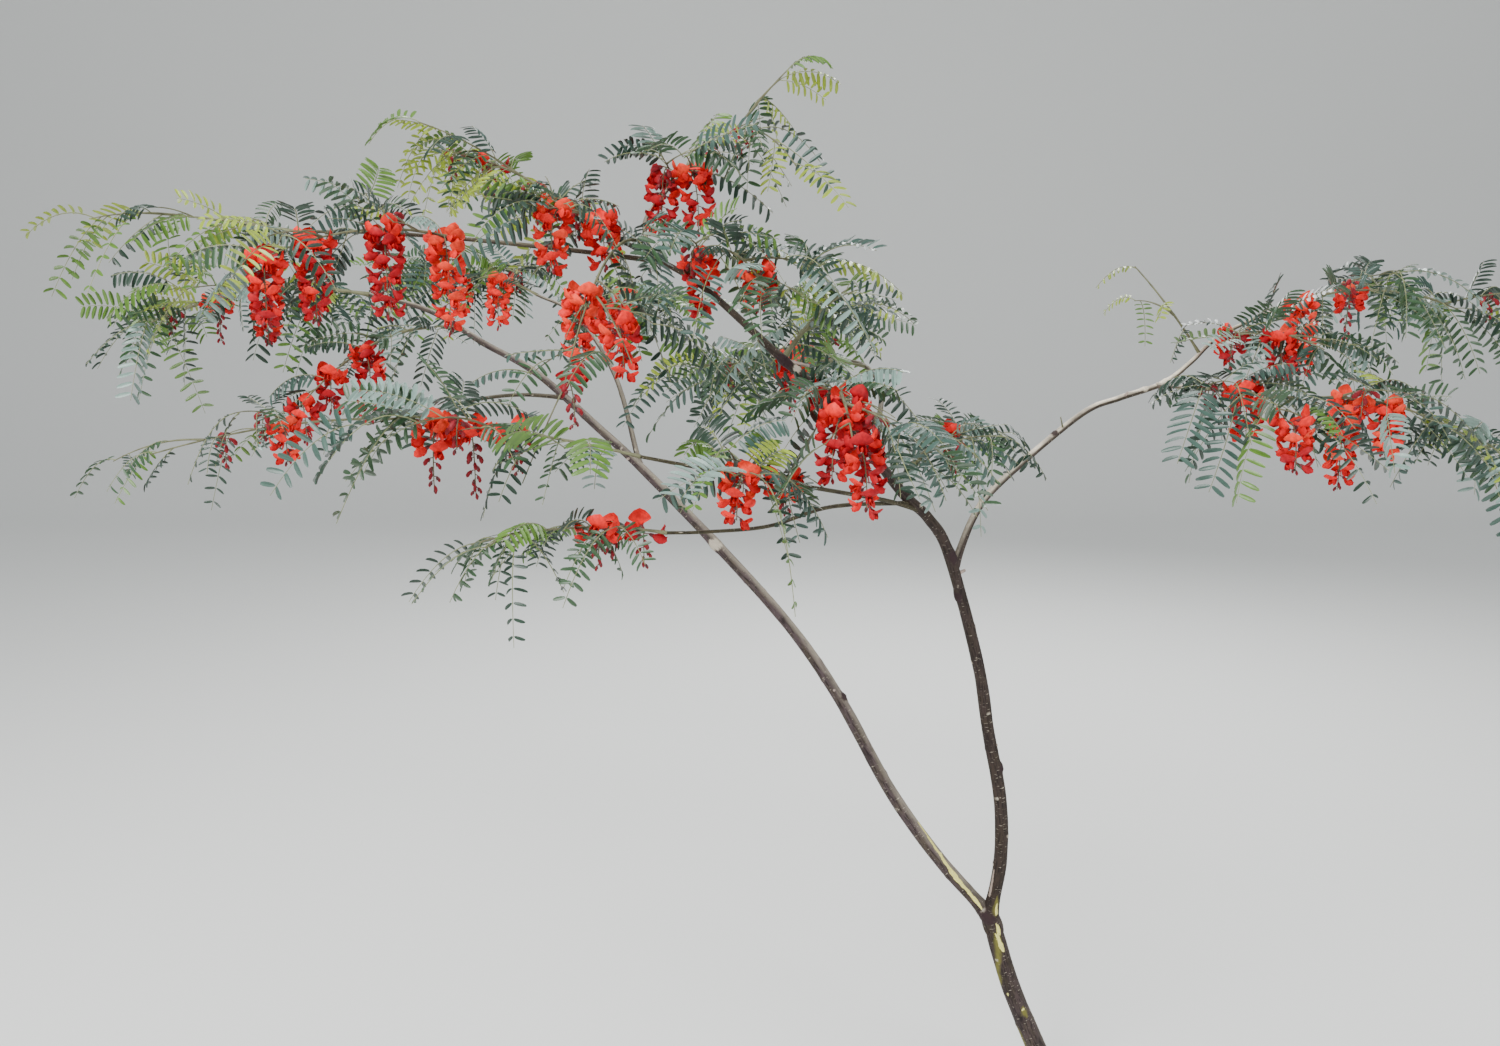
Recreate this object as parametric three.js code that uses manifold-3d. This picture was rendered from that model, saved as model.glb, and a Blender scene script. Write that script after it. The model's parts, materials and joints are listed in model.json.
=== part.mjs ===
// A rattlebox shrub in flower, rooted in the ground, in millimetres with +Z up.
// A leaning trunk forks low down into a left and a right leader. Long thin boughs leave the leaders, and
// each carries masses of foliage: a shoot with side twigs, feather-shaped leaves and hanging racemes.
// X runs to the right, Y away from the viewer, and the origin is the middle of the flat cut at ground level.
import * as THREE from 'three';
import { mergeVertices } from 'three/addons/utils/BufferGeometryUtils.js';
import Module from 'manifold-3d';

const wasm = await Module();
wasm.setup();

// Clearances
const SEAT_GAP = 0.3;          // between a limb and what it grows from
const LIMB_CLEARANCE = 8;      // least distance of a leaf or raceme from the bark of any limb
const BORDER_CLEARANCE = 3;    // how far a mass stays inside the border with its neighbours
const LEAF_CLEARANCE = 14;     // least distance of a leaf's blade from the ribs of others on the same mass
const SMALLEST_DETAIL = 0.03;  // edges shorter than this are merged away after a cut
const UNION_DETAIL = 0.7;      // and steps shallower than this after a mass is joined

// Limbs
const LIMB_STEP = 80;          // length of one straight stretch of a limb
const FLARE_HEIGHT = 55;       // the trunk spreads at its foot over this height
const FLARE_SHARE = 0.5;       // and by this share of its radius

// Shoots and side twigs
const SHOOT_STEP = 85;
const SHOOT_SIDES = 4;
const TWIG_SIDES = 3;
const TWIG_STEPS = 2;
const SIDE_SHOOT_SHARE = 0.75; // radius of a shoot on a bough's side, as a share of the bough's
const TWIG_RADIUS = 2.4;
const TIP_RADIUS = 1.9;
const TWIG_SPACING = 145;
const TWIG_REACH = 0.42;       // of the shoot's reach
const TWIG_SPREAD = [38, 62];  // degrees off the shoot's heading
const TWIG_LIFT = [0, 30];     // degrees
const TWIG_DROOP = [0.15, 0.4];
const MASS_RADIUS = 210;       // how far a mass may reach from its stems

// Straight stretches that stand for a curve when distances to it are measured
const LIMB_STRETCHES = 16;
const SHOOT_STRETCHES = 6;
const STALK_STRETCHES = 2;
const LEAF_STRETCHES = 3;

// Leaves. The solids carry a leaf at every second place of the rule, and each of their leaflets stands for
// four or five real ones.
const LEAF_SPACING = 53;
const LEAF_STRIDE = 2;
const LEAF_TRIES = 14;
const LEAF_SPREAD = [40, 90];  // degrees off its stem's heading
const LEAF_LIFT = [-5, 40];    // degrees
const LEAF_DROOP = [0.45, 1.05];
const LEAF_ROLL = [-35, 35];   // degrees
const LAST_LEAF = 0.97;        // share of the stem below the last leaf
const LEAFY_SHARE = 0.9;       // share of the stem that carries leaves
const LEAF_LENGTH = 152;
const LEAF_PAIRS = 3;
const PETIOLE_SHARE = 0.13;
const PAIRS_END = 0.94;        // share of the rachis below its last pair
const LEAFLET_LENGTH = 35;
const LEAFLET_SWEEP = 0.35;    // how far a leaflet leans towards the leaf's tip
const LEAFLET_SAG = 0.12;
const RACHIS_WIDTH = 2.4;
const RACHIS_HEIGHT = 1.7;

// Racemes: a hanging stalk with flowers round it
const RACEME_TRIES = 8;
const FLOWER_SPACING = 31;     // one flower of the solids stands for two or three real ones
const FLOWER_LENGTH = 32;
const FLOWER_WIDTH = 32;
const FLOWER_BELLY = 0.62;     // where along its length a flower is widest
const FLOWER_SIDES = 3;
const FIRST_SIZE = 1.12;       // size of the first flower
const FLOWER_SHRINK = 0.4;     // and how much smaller the lowest one is
const FIRST_FLOWER = 0.25;     // share of the stalk above the first flower
const STALK_RADIUS = 1.6;
const STALK_OUT = 0.22;        // how far the stalk arches out, as a share of its length
const GOLDEN_TURN = 137.5;     // degrees

const SHRINK_PER_TRY = 0.04;   // a leaf or raceme that finds no room tries again this much shorter

// Limbs in the order they grow: what each grows from and how far along, the points its middle runs
// through, and its radius at the foot and at the tip.
const LIMBS = {
  trunk: {
    radius: [17, 15.5], sides: 10,
    via: [[25, 0, -60], [0, 0, 0], [-30, 0, 75], [-80, 0, 195], [-120, 0, 325]],
  },
  left_leader_low: {
    on: 'trunk', at: 1, radius: [12, 9.5], sides: 8,
    via: [[-210, 20, 425], [-295, 50, 540], [-385, 80, 700], [-475, 120, 825], [-610, 160, 970]],
  },
  left_leader_high: {
    on: 'left_leader_low', at: 1, radius: [9.5, 6], sides: 7,
    via: [[-745, 210, 1100], [-820, 240, 1165], [-940, 280, 1265], [-1040, 300, 1320]],
  },
  left_leader_tip: {
    on: 'left_leader_high', at: 1, radius: [6, 3.6], sides: 6,
    via: [[-1140, 300, 1380], [-1245, 280, 1410]],
  },
  right_leader_low: {
    on: 'trunk', at: 1, radius: [12, 9], sides: 8,
    via: [[-110, -20, 440], [-118, -40, 560], [-146, -60, 690], [-170, -80, 810], [-230, -130, 1003]],
  },
  right_leader_high: {
    on: 'right_leader_low', at: 1, radius: [9, 6.2], sides: 7,
    via: [[-267, -150, 1065], [-314, -170, 1112], [-418, -210, 1242], [-503, -220, 1320]],
  },
  right_leader_tip: {
    on: 'right_leader_high', at: 1, radius: [6, 3.2], sides: 6,
    via: [[-613, -190, 1418], [-687, -160, 1462], [-766, -120, 1501]],
  },
  right_bough: {
    on: 'right_leader_low', at: 0.975, radius: [6.2, 4.6], sides: 6,
    via: [[-186, -100, 1062], [-135, -60, 1113], [6, 20, 1211], [79, 50, 1237], [160, 80, 1260]],
  },
  right_high_bough: {
    on: 'right_bough', at: 1, radius: [4.4, 2.8], sides: 5,
    via: [[218, 120, 1293], [285, 165, 1339], [416, 220, 1391]],
  },
  right_low_bough: {
    on: 'right_bough', at: 0.97, radius: [3.8, 2.6], sides: 5,
    via: [[206, 30, 1255], [255, -20, 1252], [328, -80, 1245]],
  },
  front_bough: {
    on: 'right_leader_high', at: 0.32, radius: [3.5, 2.4], sides: 5,
    via: [[-336, -200, 1100], [-410, -270, 1123], [-561, -390, 1165], [-689, -440, 1196]],
  },
  front_low_bough: {
    on: 'right_leader_high', at: 0.42, radius: [3.4, 2.3], sides: 5,
    via: [[-424, -250, 1099], [-518, -330, 1084], [-606, -400, 1088], [-656, -430, 1092]],
  },
  left_low_bough: {
    on: 'left_leader_high', at: 0.64, radius: [4, 2.6], sides: 5,
    via: [[-968, 250, 1228], [-1048, 200, 1221], [-1148, 120, 1195]],
  },
  far_left_bough: {
    on: 'right_leader_tip', at: 0.62, radius: [4, 2.4], sides: 5,
    via: [[-828, -170, 1475], [-1008, -160, 1493], [-1149, -130, 1502], [-1237, -100, 1503]],
  },
  top_bough: {
    on: 'right_leader_tip', at: 0.7, radius: [3.8, 2.4], sides: 5,
    via: [[-706, -100, 1518], [-681, -50, 1562], [-628, 0, 1627], [-569, 20, 1668]],
  },
  back_left_bough: {
    on: 'left_leader_high', at: 0.25, radius: [5, 2.8], sides: 5,
    via: [[-800, 320, 1260], [-890, 460, 1370], [-985, 590, 1410]],
  },
  back_right_bough: {
    on: 'right_leader_high', at: 0.62, radius: [4.6, 2.8], sides: 5,
    via: [[-335, -60, 1250], [-350, 120, 1290], [-420, 290, 1290]],
  },
};

// Masses of foliage: the bough each shoot grows from and how far along, its heading (0 is +X, 90 is +Y) and
// rise in degrees, its reach, and its droop as a share of the reach. A raceme is given by how far along the
// shoot it hangs, the side it leaves on (1 is the left of the way the shoot grows), and its length. Leaves is
// how long a mass's leaves are next to full-grown ones, where they are smaller.
const MASSES = {
  left_tip_foliage: {
    on: 'far_left_bough', at: 1, heading: 168, rise: 10, reach: 285, droop: 0.06, leaves: 0.8, racemes: [],
  },
  left_high_foliage: {
    on: 'far_left_bough', at: 0.47, heading: 202, rise: 14, reach: 275, droop: 0.36,
    racemes: [[0.05, 1, 145], [0.38, 1, 130], [0.74, -1, 120], [1, -1, 100]],
  },
  left_middle_foliage: {
    on: 'left_leader_tip', at: 1, heading: 186, rise: 10, reach: 395, droop: 0.3,
    racemes: [[0.46, 1, 95], [0.7, -1, 75]],
  },
  left_inner_foliage: {
    on: 'left_leader_tip', at: 0.2, heading: 219, rise: 12, reach: 330, droop: 0.62,
    racemes: [[0.6, 1, 125], [0.78, -1, 70], [0.96, 1, 65]],
  },
  left_low_foliage: {
    on: 'left_low_bough', at: 1, heading: 215, rise: 5, reach: 415, droop: 0.17, leaves: 0.6,
    racemes: [[0.5, 1, 60], [0.72, -1, 50]],
  },
  upper_left_foliage: {
    on: 'right_leader_tip', at: 1, heading: 149, rise: 35, reach: 430, droop: 0.24, leaves: 0.85,
    racemes: [[0.4, -1, 60], [0.62, 1, 60]],
  },
  top_foliage: {
    on: 'top_bough', at: 1, heading: 25, rise: 50, reach: 145, droop: 0.08, leaves: 0.8, racemes: [],
  },
  top_right_foliage: {
    on: 'top_bough', at: 0.86, heading: 315, rise: 30, reach: 210, droop: 0.73, leaves: 0.85,
    racemes: [[0.05, -1, 60]],
  },
  crown_left_foliage: {
    on: 'right_leader_tip', at: 0.86, heading: 238, rise: 30, reach: 205, droop: 0.3,
    racemes: [[0.4, 1, 70], [0.85, -1, 85]],
  },
  crown_right_foliage: {
    on: 'top_bough', at: 0.4, heading: 309, rise: 45, reach: 180, droop: 0.43,
    racemes: [[0.35, -1, 75], [0.7, 1, 95]],
  },
  arch_left_foliage: {
    on: 'right_leader_tip', at: 0.66, heading: 243, rise: 38, reach: 315, droop: 1.2,
    racemes: [[0.05, -1, 80], [0.7, -1, 105], [0.97, 1, 62]],
  },
  arch_right_foliage: {
    on: 'right_leader_tip', at: 0.45, heading: 310, rise: 40, reach: 255, droop: 0.78,
    racemes: [[0.02, -1, 90], [0.15, 1, 95], [0.8, 1, 55]],
  },
  centre_right_foliage: {
    on: 'right_leader_high', at: 0.98, heading: 59, rise: 35, reach: 258, droop: 0.17,
    racemes: [],
  },
  inner_right_foliage: {
    on: 'right_leader_high', at: 0.52, heading: 42, rise: 40, reach: 350, droop: 0.47, leaves: 0.8,
    racemes: [[0.54, 1, 55]],
  },
  centre_front_foliage: {
    on: 'right_leader_high', at: 0.78, heading: 274, rise: 25, reach: 280, droop: 0.54,
    racemes: [[0.2, -1, 60], [0.62, 1, 90], [0.8, -1, 90], [1, 1, 90]],
  },
  front_middle_foliage: {
    on: 'front_bough', at: 1, heading: 176, rise: 14, reach: 288, droop: 0.1,
    racemes: [[0.6, -1, 55], [0.82, -1, 95], [0.98, 1, 85]],
  },
  front_low_foliage: {
    on: 'front_low_bough', at: 1, heading: 184, rise: 10, reach: 265, droop: 0.22, leaves: 0.75,
    racemes: [[0.12, -1, 50], [0.35, 1, 50]],
  },
  centre_low_foliage: {
    on: 'front_bough', at: 0.62, heading: 243, rise: 22, reach: 205, droop: 0.2,
    racemes: [[0.3, 1, 48], [0.82, -1, 64]],
  },
  right_small_foliage: {
    on: 'right_high_bough', at: 0.45, heading: 185, rise: 55, reach: 216, droop: 0.13, leaves: 0.55,
    racemes: [],
  },
  right_high_foliage: {
    on: 'right_high_bough', at: 1, heading: 11, rise: 18, reach: 426, droop: 0.38,
    racemes: [[0.05, -1, 125], [0.34, 1, 85]],
  },
  right_middle_foliage: {
    on: 'right_high_bough', at: 0.62, heading: 302, rise: 18, reach: 225, droop: 0.36,
    racemes: [[0.2, -1, 60], [0.58, 1, 75]],
  },
  right_low_foliage: {
    on: 'right_low_bough', at: 1, heading: 348, rise: 8, reach: 284, droop: 0.4,
    racemes: [[0.26, 1, 150], [0.45, -1, 80]],
  },
  right_under_foliage: {
    on: 'right_low_bough', at: 0.4, heading: 278, rise: 12, reach: 256, droop: 0.33,
    racemes: [[0.4, 1, 80], [1, 1, 75]],
  },
  back_left_foliage: {
    on: 'back_left_bough', at: 1, heading: 150, rise: 25, reach: 330, droop: 0.35,
    racemes: [[0.3, 1, 100], [0.75, -1, 80]],
  },
  back_middle_foliage: {
    on: 'back_left_bough', at: 0.62, heading: 62, rise: 30, reach: 300, droop: 0.35,
    racemes: [[0.3, -1, 70], [0.7, 1, 100]],
  },
  back_right_foliage: {
    on: 'back_right_bough', at: 1, heading: 100, rise: 12, reach: 320, droop: 0.35,
    racemes: [[0.35, 1, 70], [0.8, -1, 65]],
  },
  back_side_foliage: {
    on: 'back_right_bough', at: 0.62, heading: 165, rise: 14, reach: 280, droop: 0.35,
    racemes: [[0.5, -1, 90]],
  },
};

// Colours and finishes
const BARK = { color: 0x6b5444, roughness: 0.85, metalness: 0 };
const FOLIAGE = { color: 0x4c6b3a, roughness: 0.6, metalness: 0 };

const UP = new THREE.Vector3(0, 0, 1);
const { degToRad, radToDeg, lerp } = THREE.MathUtils;

// A source of numbers between two bounds, the same for the same seed on any machine.
function seeded(seed) {
  let state = seed;
  return (low, high) => {
    state = (state * 1664525 + 1013904223) % 4294967296;
    return low + ((high - low) * state) / 4294967296;
  };
}

// A unit vector from a compass heading and a rise, both in degrees.
function direction(heading, rise) {
  const flat = Math.cos(degToRad(rise));
  const turn = degToRad(heading);
  return new THREE.Vector3(flat * Math.cos(turn), flat * Math.sin(turn), Math.sin(degToRad(rise)));
}

// An arching stem: it sets out along its heading and rise, and falls away from that line as a parabola.
function arch({ start, heading, rise, reach, droop }) {
  const ahead = direction(heading, rise).multiplyScalar(reach);
  const end = start.clone().add(ahead).addScaledVector(UP, -droop * reach);
  return new THREE.QuadraticBezierCurve3(start, start.clone().addScaledVector(ahead, 0.5), end);
}

// How steeply a curve climbs at a share of its length, in degrees.
function riseAt(curve, share) {
  return radToDeg(Math.asin(curve.getTangent(share).z));
}

// A solid from its corners and the triangles between them.
function solidFrom(corners, triangles) {
  const geometry = new THREE.BufferGeometry().setFromPoints(corners);
  geometry.setIndex(triangles);
  const merged = mergeVertices(geometry, 1e-4);
  return new wasm.Manifold(new wasm.Mesh({
    numProp: 3,
    vertProperties: merged.attributes.position.array,
    triVerts: new Uint32Array(merged.index.array),
  }));
}

// A tapering tube carried along a curve, with flat ends.
function tube(curve, radiusAt, sides, steps) {
  const frames = curve.computeFrenetFrames(steps, false);
  const corners = [];
  for (let i = 0; i <= steps; i++) {
    const middle = curve.getPointAt(i / steps);
    const radius = radiusAt(i / steps, middle);
    for (let j = 0; j < sides; j++) {
      const turn = (2 * Math.PI * j) / sides;
      corners.push(middle.clone()
        .addScaledVector(frames.normals[i], radius * Math.cos(turn))
        .addScaledVector(frames.binormals[i], radius * Math.sin(turn)));
    }
  }
  const triangles = [];
  for (let i = 0; i < steps; i++) {
    for (let j = 0; j < sides; j++) {
      const a = i * sides + j;
      const b = i * sides + ((j + 1) % sides);
      triangles.push(a, b, b + sides, a, b + sides, a + sides);
    }
  }
  for (let j = 1; j < sides - 1; j++) {
    triangles.push(0, j + 1, j);
    triangles.push(steps * sides, steps * sides + j, steps * sides + j + 1);
  }
  return solidFrom(corners, triangles);
}

// The largest of the pieces that a cut or a union leaves.
function largestPiece(solid, detail) {
  const pieces = solid.decompose().sort((a, b) => b.volume() - a.volume());
  return pieces[0].simplify(detail);
}

// Limbs

function limbCurve(limb, grown) {
  const points = limb.via.map((p) => new THREE.Vector3(...p));
  if (limb.on) points.unshift(grown[limb.on].curve.getPoint(limb.at));
  return new THREE.CatmullRomCurve3(points, false, 'catmullrom', 0.5);
}

function limbRadius(limb, share, middle) {
  const plain = lerp(limb.radius[0], limb.radius[1], share);
  const flare = limb.on ? 0 : FLARE_SHARE * Math.exp(-Math.max(middle.z, 0) / FLARE_HEIGHT);
  return plain * (1 + flare);
}

// The limb's tube, made wider all round by a margin and longer by it at the tip.
function limbTube(limb, margin) {
  const points = limb.curve.points.map((p) => p.clone());
  points[points.length - 1].addScaledVector(limb.curve.getTangent(1), margin);
  const curve = new THREE.CatmullRomCurve3(points, false, 'catmullrom', 0.5);
  const steps = Math.max(3, Math.round(limb.curve.getLength() / LIMB_STEP));
  return tube(curve, (share, middle) => limbRadius(limb, share, middle) + margin, limb.sides, steps);
}

const limbs = {};
for (const [name, limb] of Object.entries(LIMBS)) {
  limbs[name] = { ...limb, name, curve: limbCurve(limb, limbs) };
}

// Cuts a stem 0.3 mm clear of the limbs round its foot.
function seat(stem, neighbours) {
  const cut = neighbours.reduce((left, limb) => left.subtract(limbTube(limb, SEAT_GAP)), stem);
  return largestPiece(cut, SMALLEST_DETAIL);
}

// The limbs round the foot of whatever grows on a limb: it, its own parent, and the others that grow on it.
function limbsRound(on) {
  return Object.values(limbs).filter((limb) => [on, limbs[on].on].includes(limb.name) || limb.on === on);
}

// A limb gives way to the limbs round its foot that grew before it.
function limbSolid(limb) {
  if (!limb.on) return limbTube(limb, 0).trimByPlane([0, 0, 1], 0);
  const order = Object.keys(limbs);
  const earlier = (other) => order.indexOf(other.name) < order.indexOf(limb.name);
  return seat(limbTube(limb, 0), limbsRound(limb.on).filter(earlier));
}

// Stems of the masses

// Side twigs leave the shoot on alternate sides at a slant.
function twigsOf(shoot) {
  const random = seeded(shoot.seed);
  const count = Math.round(shoot.reach / TWIG_SPACING);
  const twigs = [];
  for (let i = 0; i < count; i++) {
    const share = (i + 0.4) / count;
    const hand = i % 2 ? 1 : -1;
    const twig = {
      start: shoot.curve.getPoint(share),
      heading: shoot.heading + hand * random(...TWIG_SPREAD),
      rise: 0.6 * riseAt(shoot.curve, share) + random(...TWIG_LIFT),
      reach: shoot.reach * TWIG_REACH * random(0.85, 1.2),
      droop: random(...TWIG_DROOP),
      seed: shoot.seed + 1000 * (i + 1),
    };
    twigs.push({ ...twig, curve: arch(twig) });
  }
  return twigs;
}

// The straight stretches that a curve is measured by.
function stretchesOf(curve, count) {
  const points = curve.getPoints(count);
  return points.slice(1).map((point, i) => new THREE.Line3(points[i], point));
}

const barkStretches = Object.values(limbs).flatMap((limb) => {
  const lines = stretchesOf(limb.curve, LIMB_STRETCHES);
  return lines.map((line, i) => ({ line, radius: limbRadius(limb, i / lines.length, line.start) }));
});

const nearest = new THREE.Vector3();
function distanceTo(line, point) {
  return line.closestPointToPoint(point, true, nearest).distanceTo(point);
}

// True when every point is nearer to the mass's own stems than to any other's, and clear of all bark.
function fits(mass, points, ownStretches = mass.stretches) {
  for (const point of points) {
    const own = Math.min(...ownStretches.map((line) => distanceTo(line, point)));
    if (own > MASS_RADIUS) return false;
    const border = own + 2 * BORDER_CLEARANCE;
    for (const other of masses) {
      if (other !== mass && other.stretches.some((line) => distanceTo(line, point) < border)) return false;
    }
    const hitsBark = barkStretches.some(({ line, radius }) => (
      distanceTo(line, point) < radius + LIMB_CLEARANCE
    ));
    if (hitsBark) return false;
  }
  return true;
}

const masses = Object.entries(MASSES).map(([name, given], i) => {
  const shoot = { ...given, start: limbs[given.on].curve.getPoint(given.at), seed: 101 + 17 * i };
  shoot.curve = arch(shoot);
  const stretches = stretchesOf(shoot.curve, SHOOT_STRETCHES);
  return { name, shoot, stems: [shoot], racemes: [], leaves: [], stretches };
});

// Racemes

// The stalk leaves its shoot sideways and then hangs down.
function stalkCurve({ start, heading, length }) {
  const bend = start.clone().addScaledVector(direction(heading, 0), length * STALK_OUT);
  return new THREE.QuadraticBezierCurve3(start, bend, bend.clone().addScaledVector(UP, -length));
}

// Where each flower sits, which way it points and how large it is. They wind round the stalk by the golden
// angle, and point further down towards its tip.
function flowersOf(raceme) {
  const count = Math.max(2, Math.round(raceme.length / FLOWER_SPACING));
  return Array.from({ length: count }, (unused, i) => {
    const along = i / (count - 1);
    return {
      root: raceme.curve.getPoint(lerp(FIRST_FLOWER, 1, along)),
      ahead: direction(raceme.heading + GOLDEN_TURN * i, lerp(-15, -65, along)),
      size: FIRST_SIZE - FLOWER_SHRINK * along,
    };
  });
}

// One raceme in the first of a few positions round its shoot that has room, or none.
function growRaceme(mass, [share, hand, length], seed) {
  const random = seeded(seed);
  for (let i = 0; i < RACEME_TRIES; i++) {
    const turn = random(-75, 75) * (i / (RACEME_TRIES - 1));
    const raceme = {
      start: mass.shoot.curve.getPoint(share),
      heading: mass.shoot.heading + 90 * hand + turn,
      length: length * (1 - SHRINK_PER_TRY * i),
    };
    raceme.curve = stalkCurve(raceme);
    const stretches = stretchesOf(raceme.curve, STALK_STRETCHES);
    const points = flowersOf(raceme).flatMap(({ root, ahead, size }) => (
      [root, root.clone().addScaledVector(ahead, FLOWER_LENGTH * size)]
    ));
    if (fits(mass, points, [...mass.stretches, ...stretches])) return { ...raceme, stretches };
  }
  return null;
}

// All shoots are in place before the first raceme, all racemes before the first twig, and all twigs before
// the first leaf, so that each mass keeps the room round its own stems.
for (const mass of masses) {
  mass.shoot.racemes.forEach((place, i) => {
    const raceme = growRaceme(mass, place, mass.shoot.seed + i);
    if (!raceme) return;
    mass.racemes.push(raceme);
    mass.stretches.push(...raceme.stretches);
  });
}
for (const mass of masses) {
  mass.twigs = twigsOf(mass.shoot).filter((twig) => fits(mass, twig.curve.getPoints(6).slice(2)));
}
for (const mass of masses) {
  mass.stems.push(...mass.twigs);
  mass.stretches.push(...mass.twigs.flatMap((twig) => stretchesOf(twig.curve, TWIG_STEPS)));
}

// Leaves

// The middle of the rachis at a share of its length, and the ways along it, across the blade and out of it.
function leafFrame(leaf, share) {
  const ahead = leaf.curve.getTangent(share);
  const side = direction(leaf.heading + 90, 0);
  const above = ahead.clone().cross(side);
  side.applyAxisAngle(ahead, degToRad(leaf.roll));
  above.applyAxisAngle(ahead, degToRad(leaf.roll));
  return { middle: leaf.curve.getPoint(share), ahead, side, above };
}

// Leaflets are longest in the middle of the leaf.
function leafletLength(leaf, share) {
  const size = leaf.reach / LEAF_LENGTH;
  return LEAFLET_LENGTH * size * (0.62 + 0.38 * Math.sin(Math.PI * (0.12 + 0.8 * share)));
}

// A point on the blade: across runs from -1 at the right edge to 1 at the left.
function bladePoint(leaf, share, across) {
  const { middle, ahead, side, above } = leafFrame(leaf, share);
  const reach = Math.abs(across) * leafletLength(leaf, share);
  return middle.addScaledVector(side, Math.sign(across) * reach)
    .addScaledVector(ahead, reach * LEAFLET_SWEEP)
    .addScaledVector(above, -reach * LEAFLET_SAG);
}

// Points all over the blade, for testing whether the leaf has room.
function bladePoints(leaf) {
  const points = [];
  for (let i = 3; i <= 18; i++) {
    for (let j = -3; j <= 3; j++) points.push(bladePoint(leaf, i / 18, j / 3));
  }
  return points;
}

// One leaf at a place on a stem, in the first of a few positions that has room, or none.
function growLeaf(mass, stem, share, hand, seed) {
  const random = seeded(seed);
  for (let i = 0; i < LEAF_TRIES; i++) {
    const spread = share === LAST_LEAF ? random(-30, 30) : hand * random(...LEAF_SPREAD);
    const leaf = {
      start: stem.curve.getPoint(share),
      heading: stem.heading + spread,
      rise: 0.5 * riseAt(stem.curve, share) + random(...LEAF_LIFT),
      reach: LEAF_LENGTH * (mass.shoot.leaves ?? 1) * random(0.75, 1) * (1 - SHRINK_PER_TRY * i),
      droop: random(...LEAF_DROOP),
      roll: random(...LEAF_ROLL),
    };
    leaf.curve = arch(leaf);
    leaf.stretches = stretchesOf(leaf.curve, LEAF_STRETCHES);
    const points = bladePoints(leaf);
    const crosses = mass.leaves.some((other) => other.stretches.some((line) => (
      points.some((point) => distanceTo(line, point) < LEAF_CLEARANCE)
    )));
    if (!crosses && fits(mass, points)) return leaf;
  }
  return null;
}

// The leaves of a mass, on alternate sides of each stem and one at its tip.
function growLeaves(mass) {
  for (const stem of mass.stems) {
    const count = Math.max(2, Math.round(stem.reach / LEAF_SPACING));
    for (let i = 0; i < count; i += LEAF_STRIDE) {
      const share = LAST_LEAF - (i * LEAFY_SHARE) / count;
      const hand = Math.floor(i / LEAF_STRIDE) % 2 ? 1 : -1;
      const leaf = growLeaf(mass, stem, share, hand, stem.seed + 10 * i);
      if (leaf) mass.leaves.push(leaf);
    }
  }
}

// A rachis of three-cornered section whose two upper slopes are drawn out into leaflets.
function leafSolid(leaf) {
  const stations = [0];
  for (let i = 0; i <= LEAF_PAIRS; i++) stations.push(lerp(PETIOLE_SHARE, PAIRS_END, i / LEAF_PAIRS));
  const corners = [];
  for (const share of stations) {
    const { middle, side, above } = leafFrame(leaf, share);
    const width = (RACHIS_WIDTH / 2) * (1 - 0.35 * share);
    const low = middle.clone().addScaledVector(above, -RACHIS_HEIGHT / 2);
    corners.push(
      middle.clone().addScaledVector(above, RACHIS_HEIGHT / 2),
      low.clone().addScaledVector(side, -width),
      low.clone().addScaledVector(side, width),
    );
  }
  const triangles = [0, 2, 1];
  for (let i = 0; i < stations.length - 1; i++) {
    const [top, right, left] = [3 * i, 3 * i + 1, 3 * i + 2];
    triangles.push(right, left, left + 3, right, left + 3, right + 3);
    for (const [a, b, hand] of [[top, right, -1], [left, top, 1]]) {
      if (i === 0) {
        triangles.push(a, b, b + 3, a, b + 3, a + 3);
        continue;
      }
      const tip = corners.push(bladePoint(leaf, (stations[i] + stations[i + 1]) / 2, hand)) - 1;
      triangles.push(a, b, tip, b, b + 3, tip, b + 3, a + 3, tip, a + 3, a, tip);
    }
  }
  const last = 3 * (stations.length - 1);
  const { middle, ahead } = leafFrame(leaf, 1);
  const tip = corners.push(middle.addScaledVector(ahead, LEAFLET_LENGTH / 2)) - 1;
  triangles.push(last, last + 1, tip, last + 1, last + 2, tip, last + 2, last, tip);
  return solidFrom(corners, triangles);
}

// Flowers

// A flower as a double pyramid: narrow at its root and widest well past its middle.
function flowerSolid({ root, ahead, size }) {
  const across = ahead.clone().cross(UP).normalize();
  const over = across.clone().cross(ahead);
  const belly = root.clone().addScaledVector(ahead, FLOWER_BELLY * FLOWER_LENGTH * size);
  const corners = [root.clone().addScaledVector(ahead, -STALK_RADIUS)];
  for (let i = 0; i < FLOWER_SIDES; i++) {
    const turn = (2 * Math.PI * i) / FLOWER_SIDES;
    corners.push(belly.clone()
      .addScaledVector(across, 0.5 * FLOWER_WIDTH * size * Math.cos(turn))
      .addScaledVector(over, 0.5 * FLOWER_WIDTH * size * Math.sin(turn)));
  }
  const tip = corners.push(root.clone().addScaledVector(ahead, FLOWER_LENGTH * size)) - 1;
  const triangles = [];
  for (let i = 1; i <= FLOWER_SIDES; i++) {
    const next = 1 + (i % FLOWER_SIDES);
    triangles.push(0, i, next, tip, next, i);
  }
  return solidFrom(corners, triangles);
}

// Masses

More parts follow.
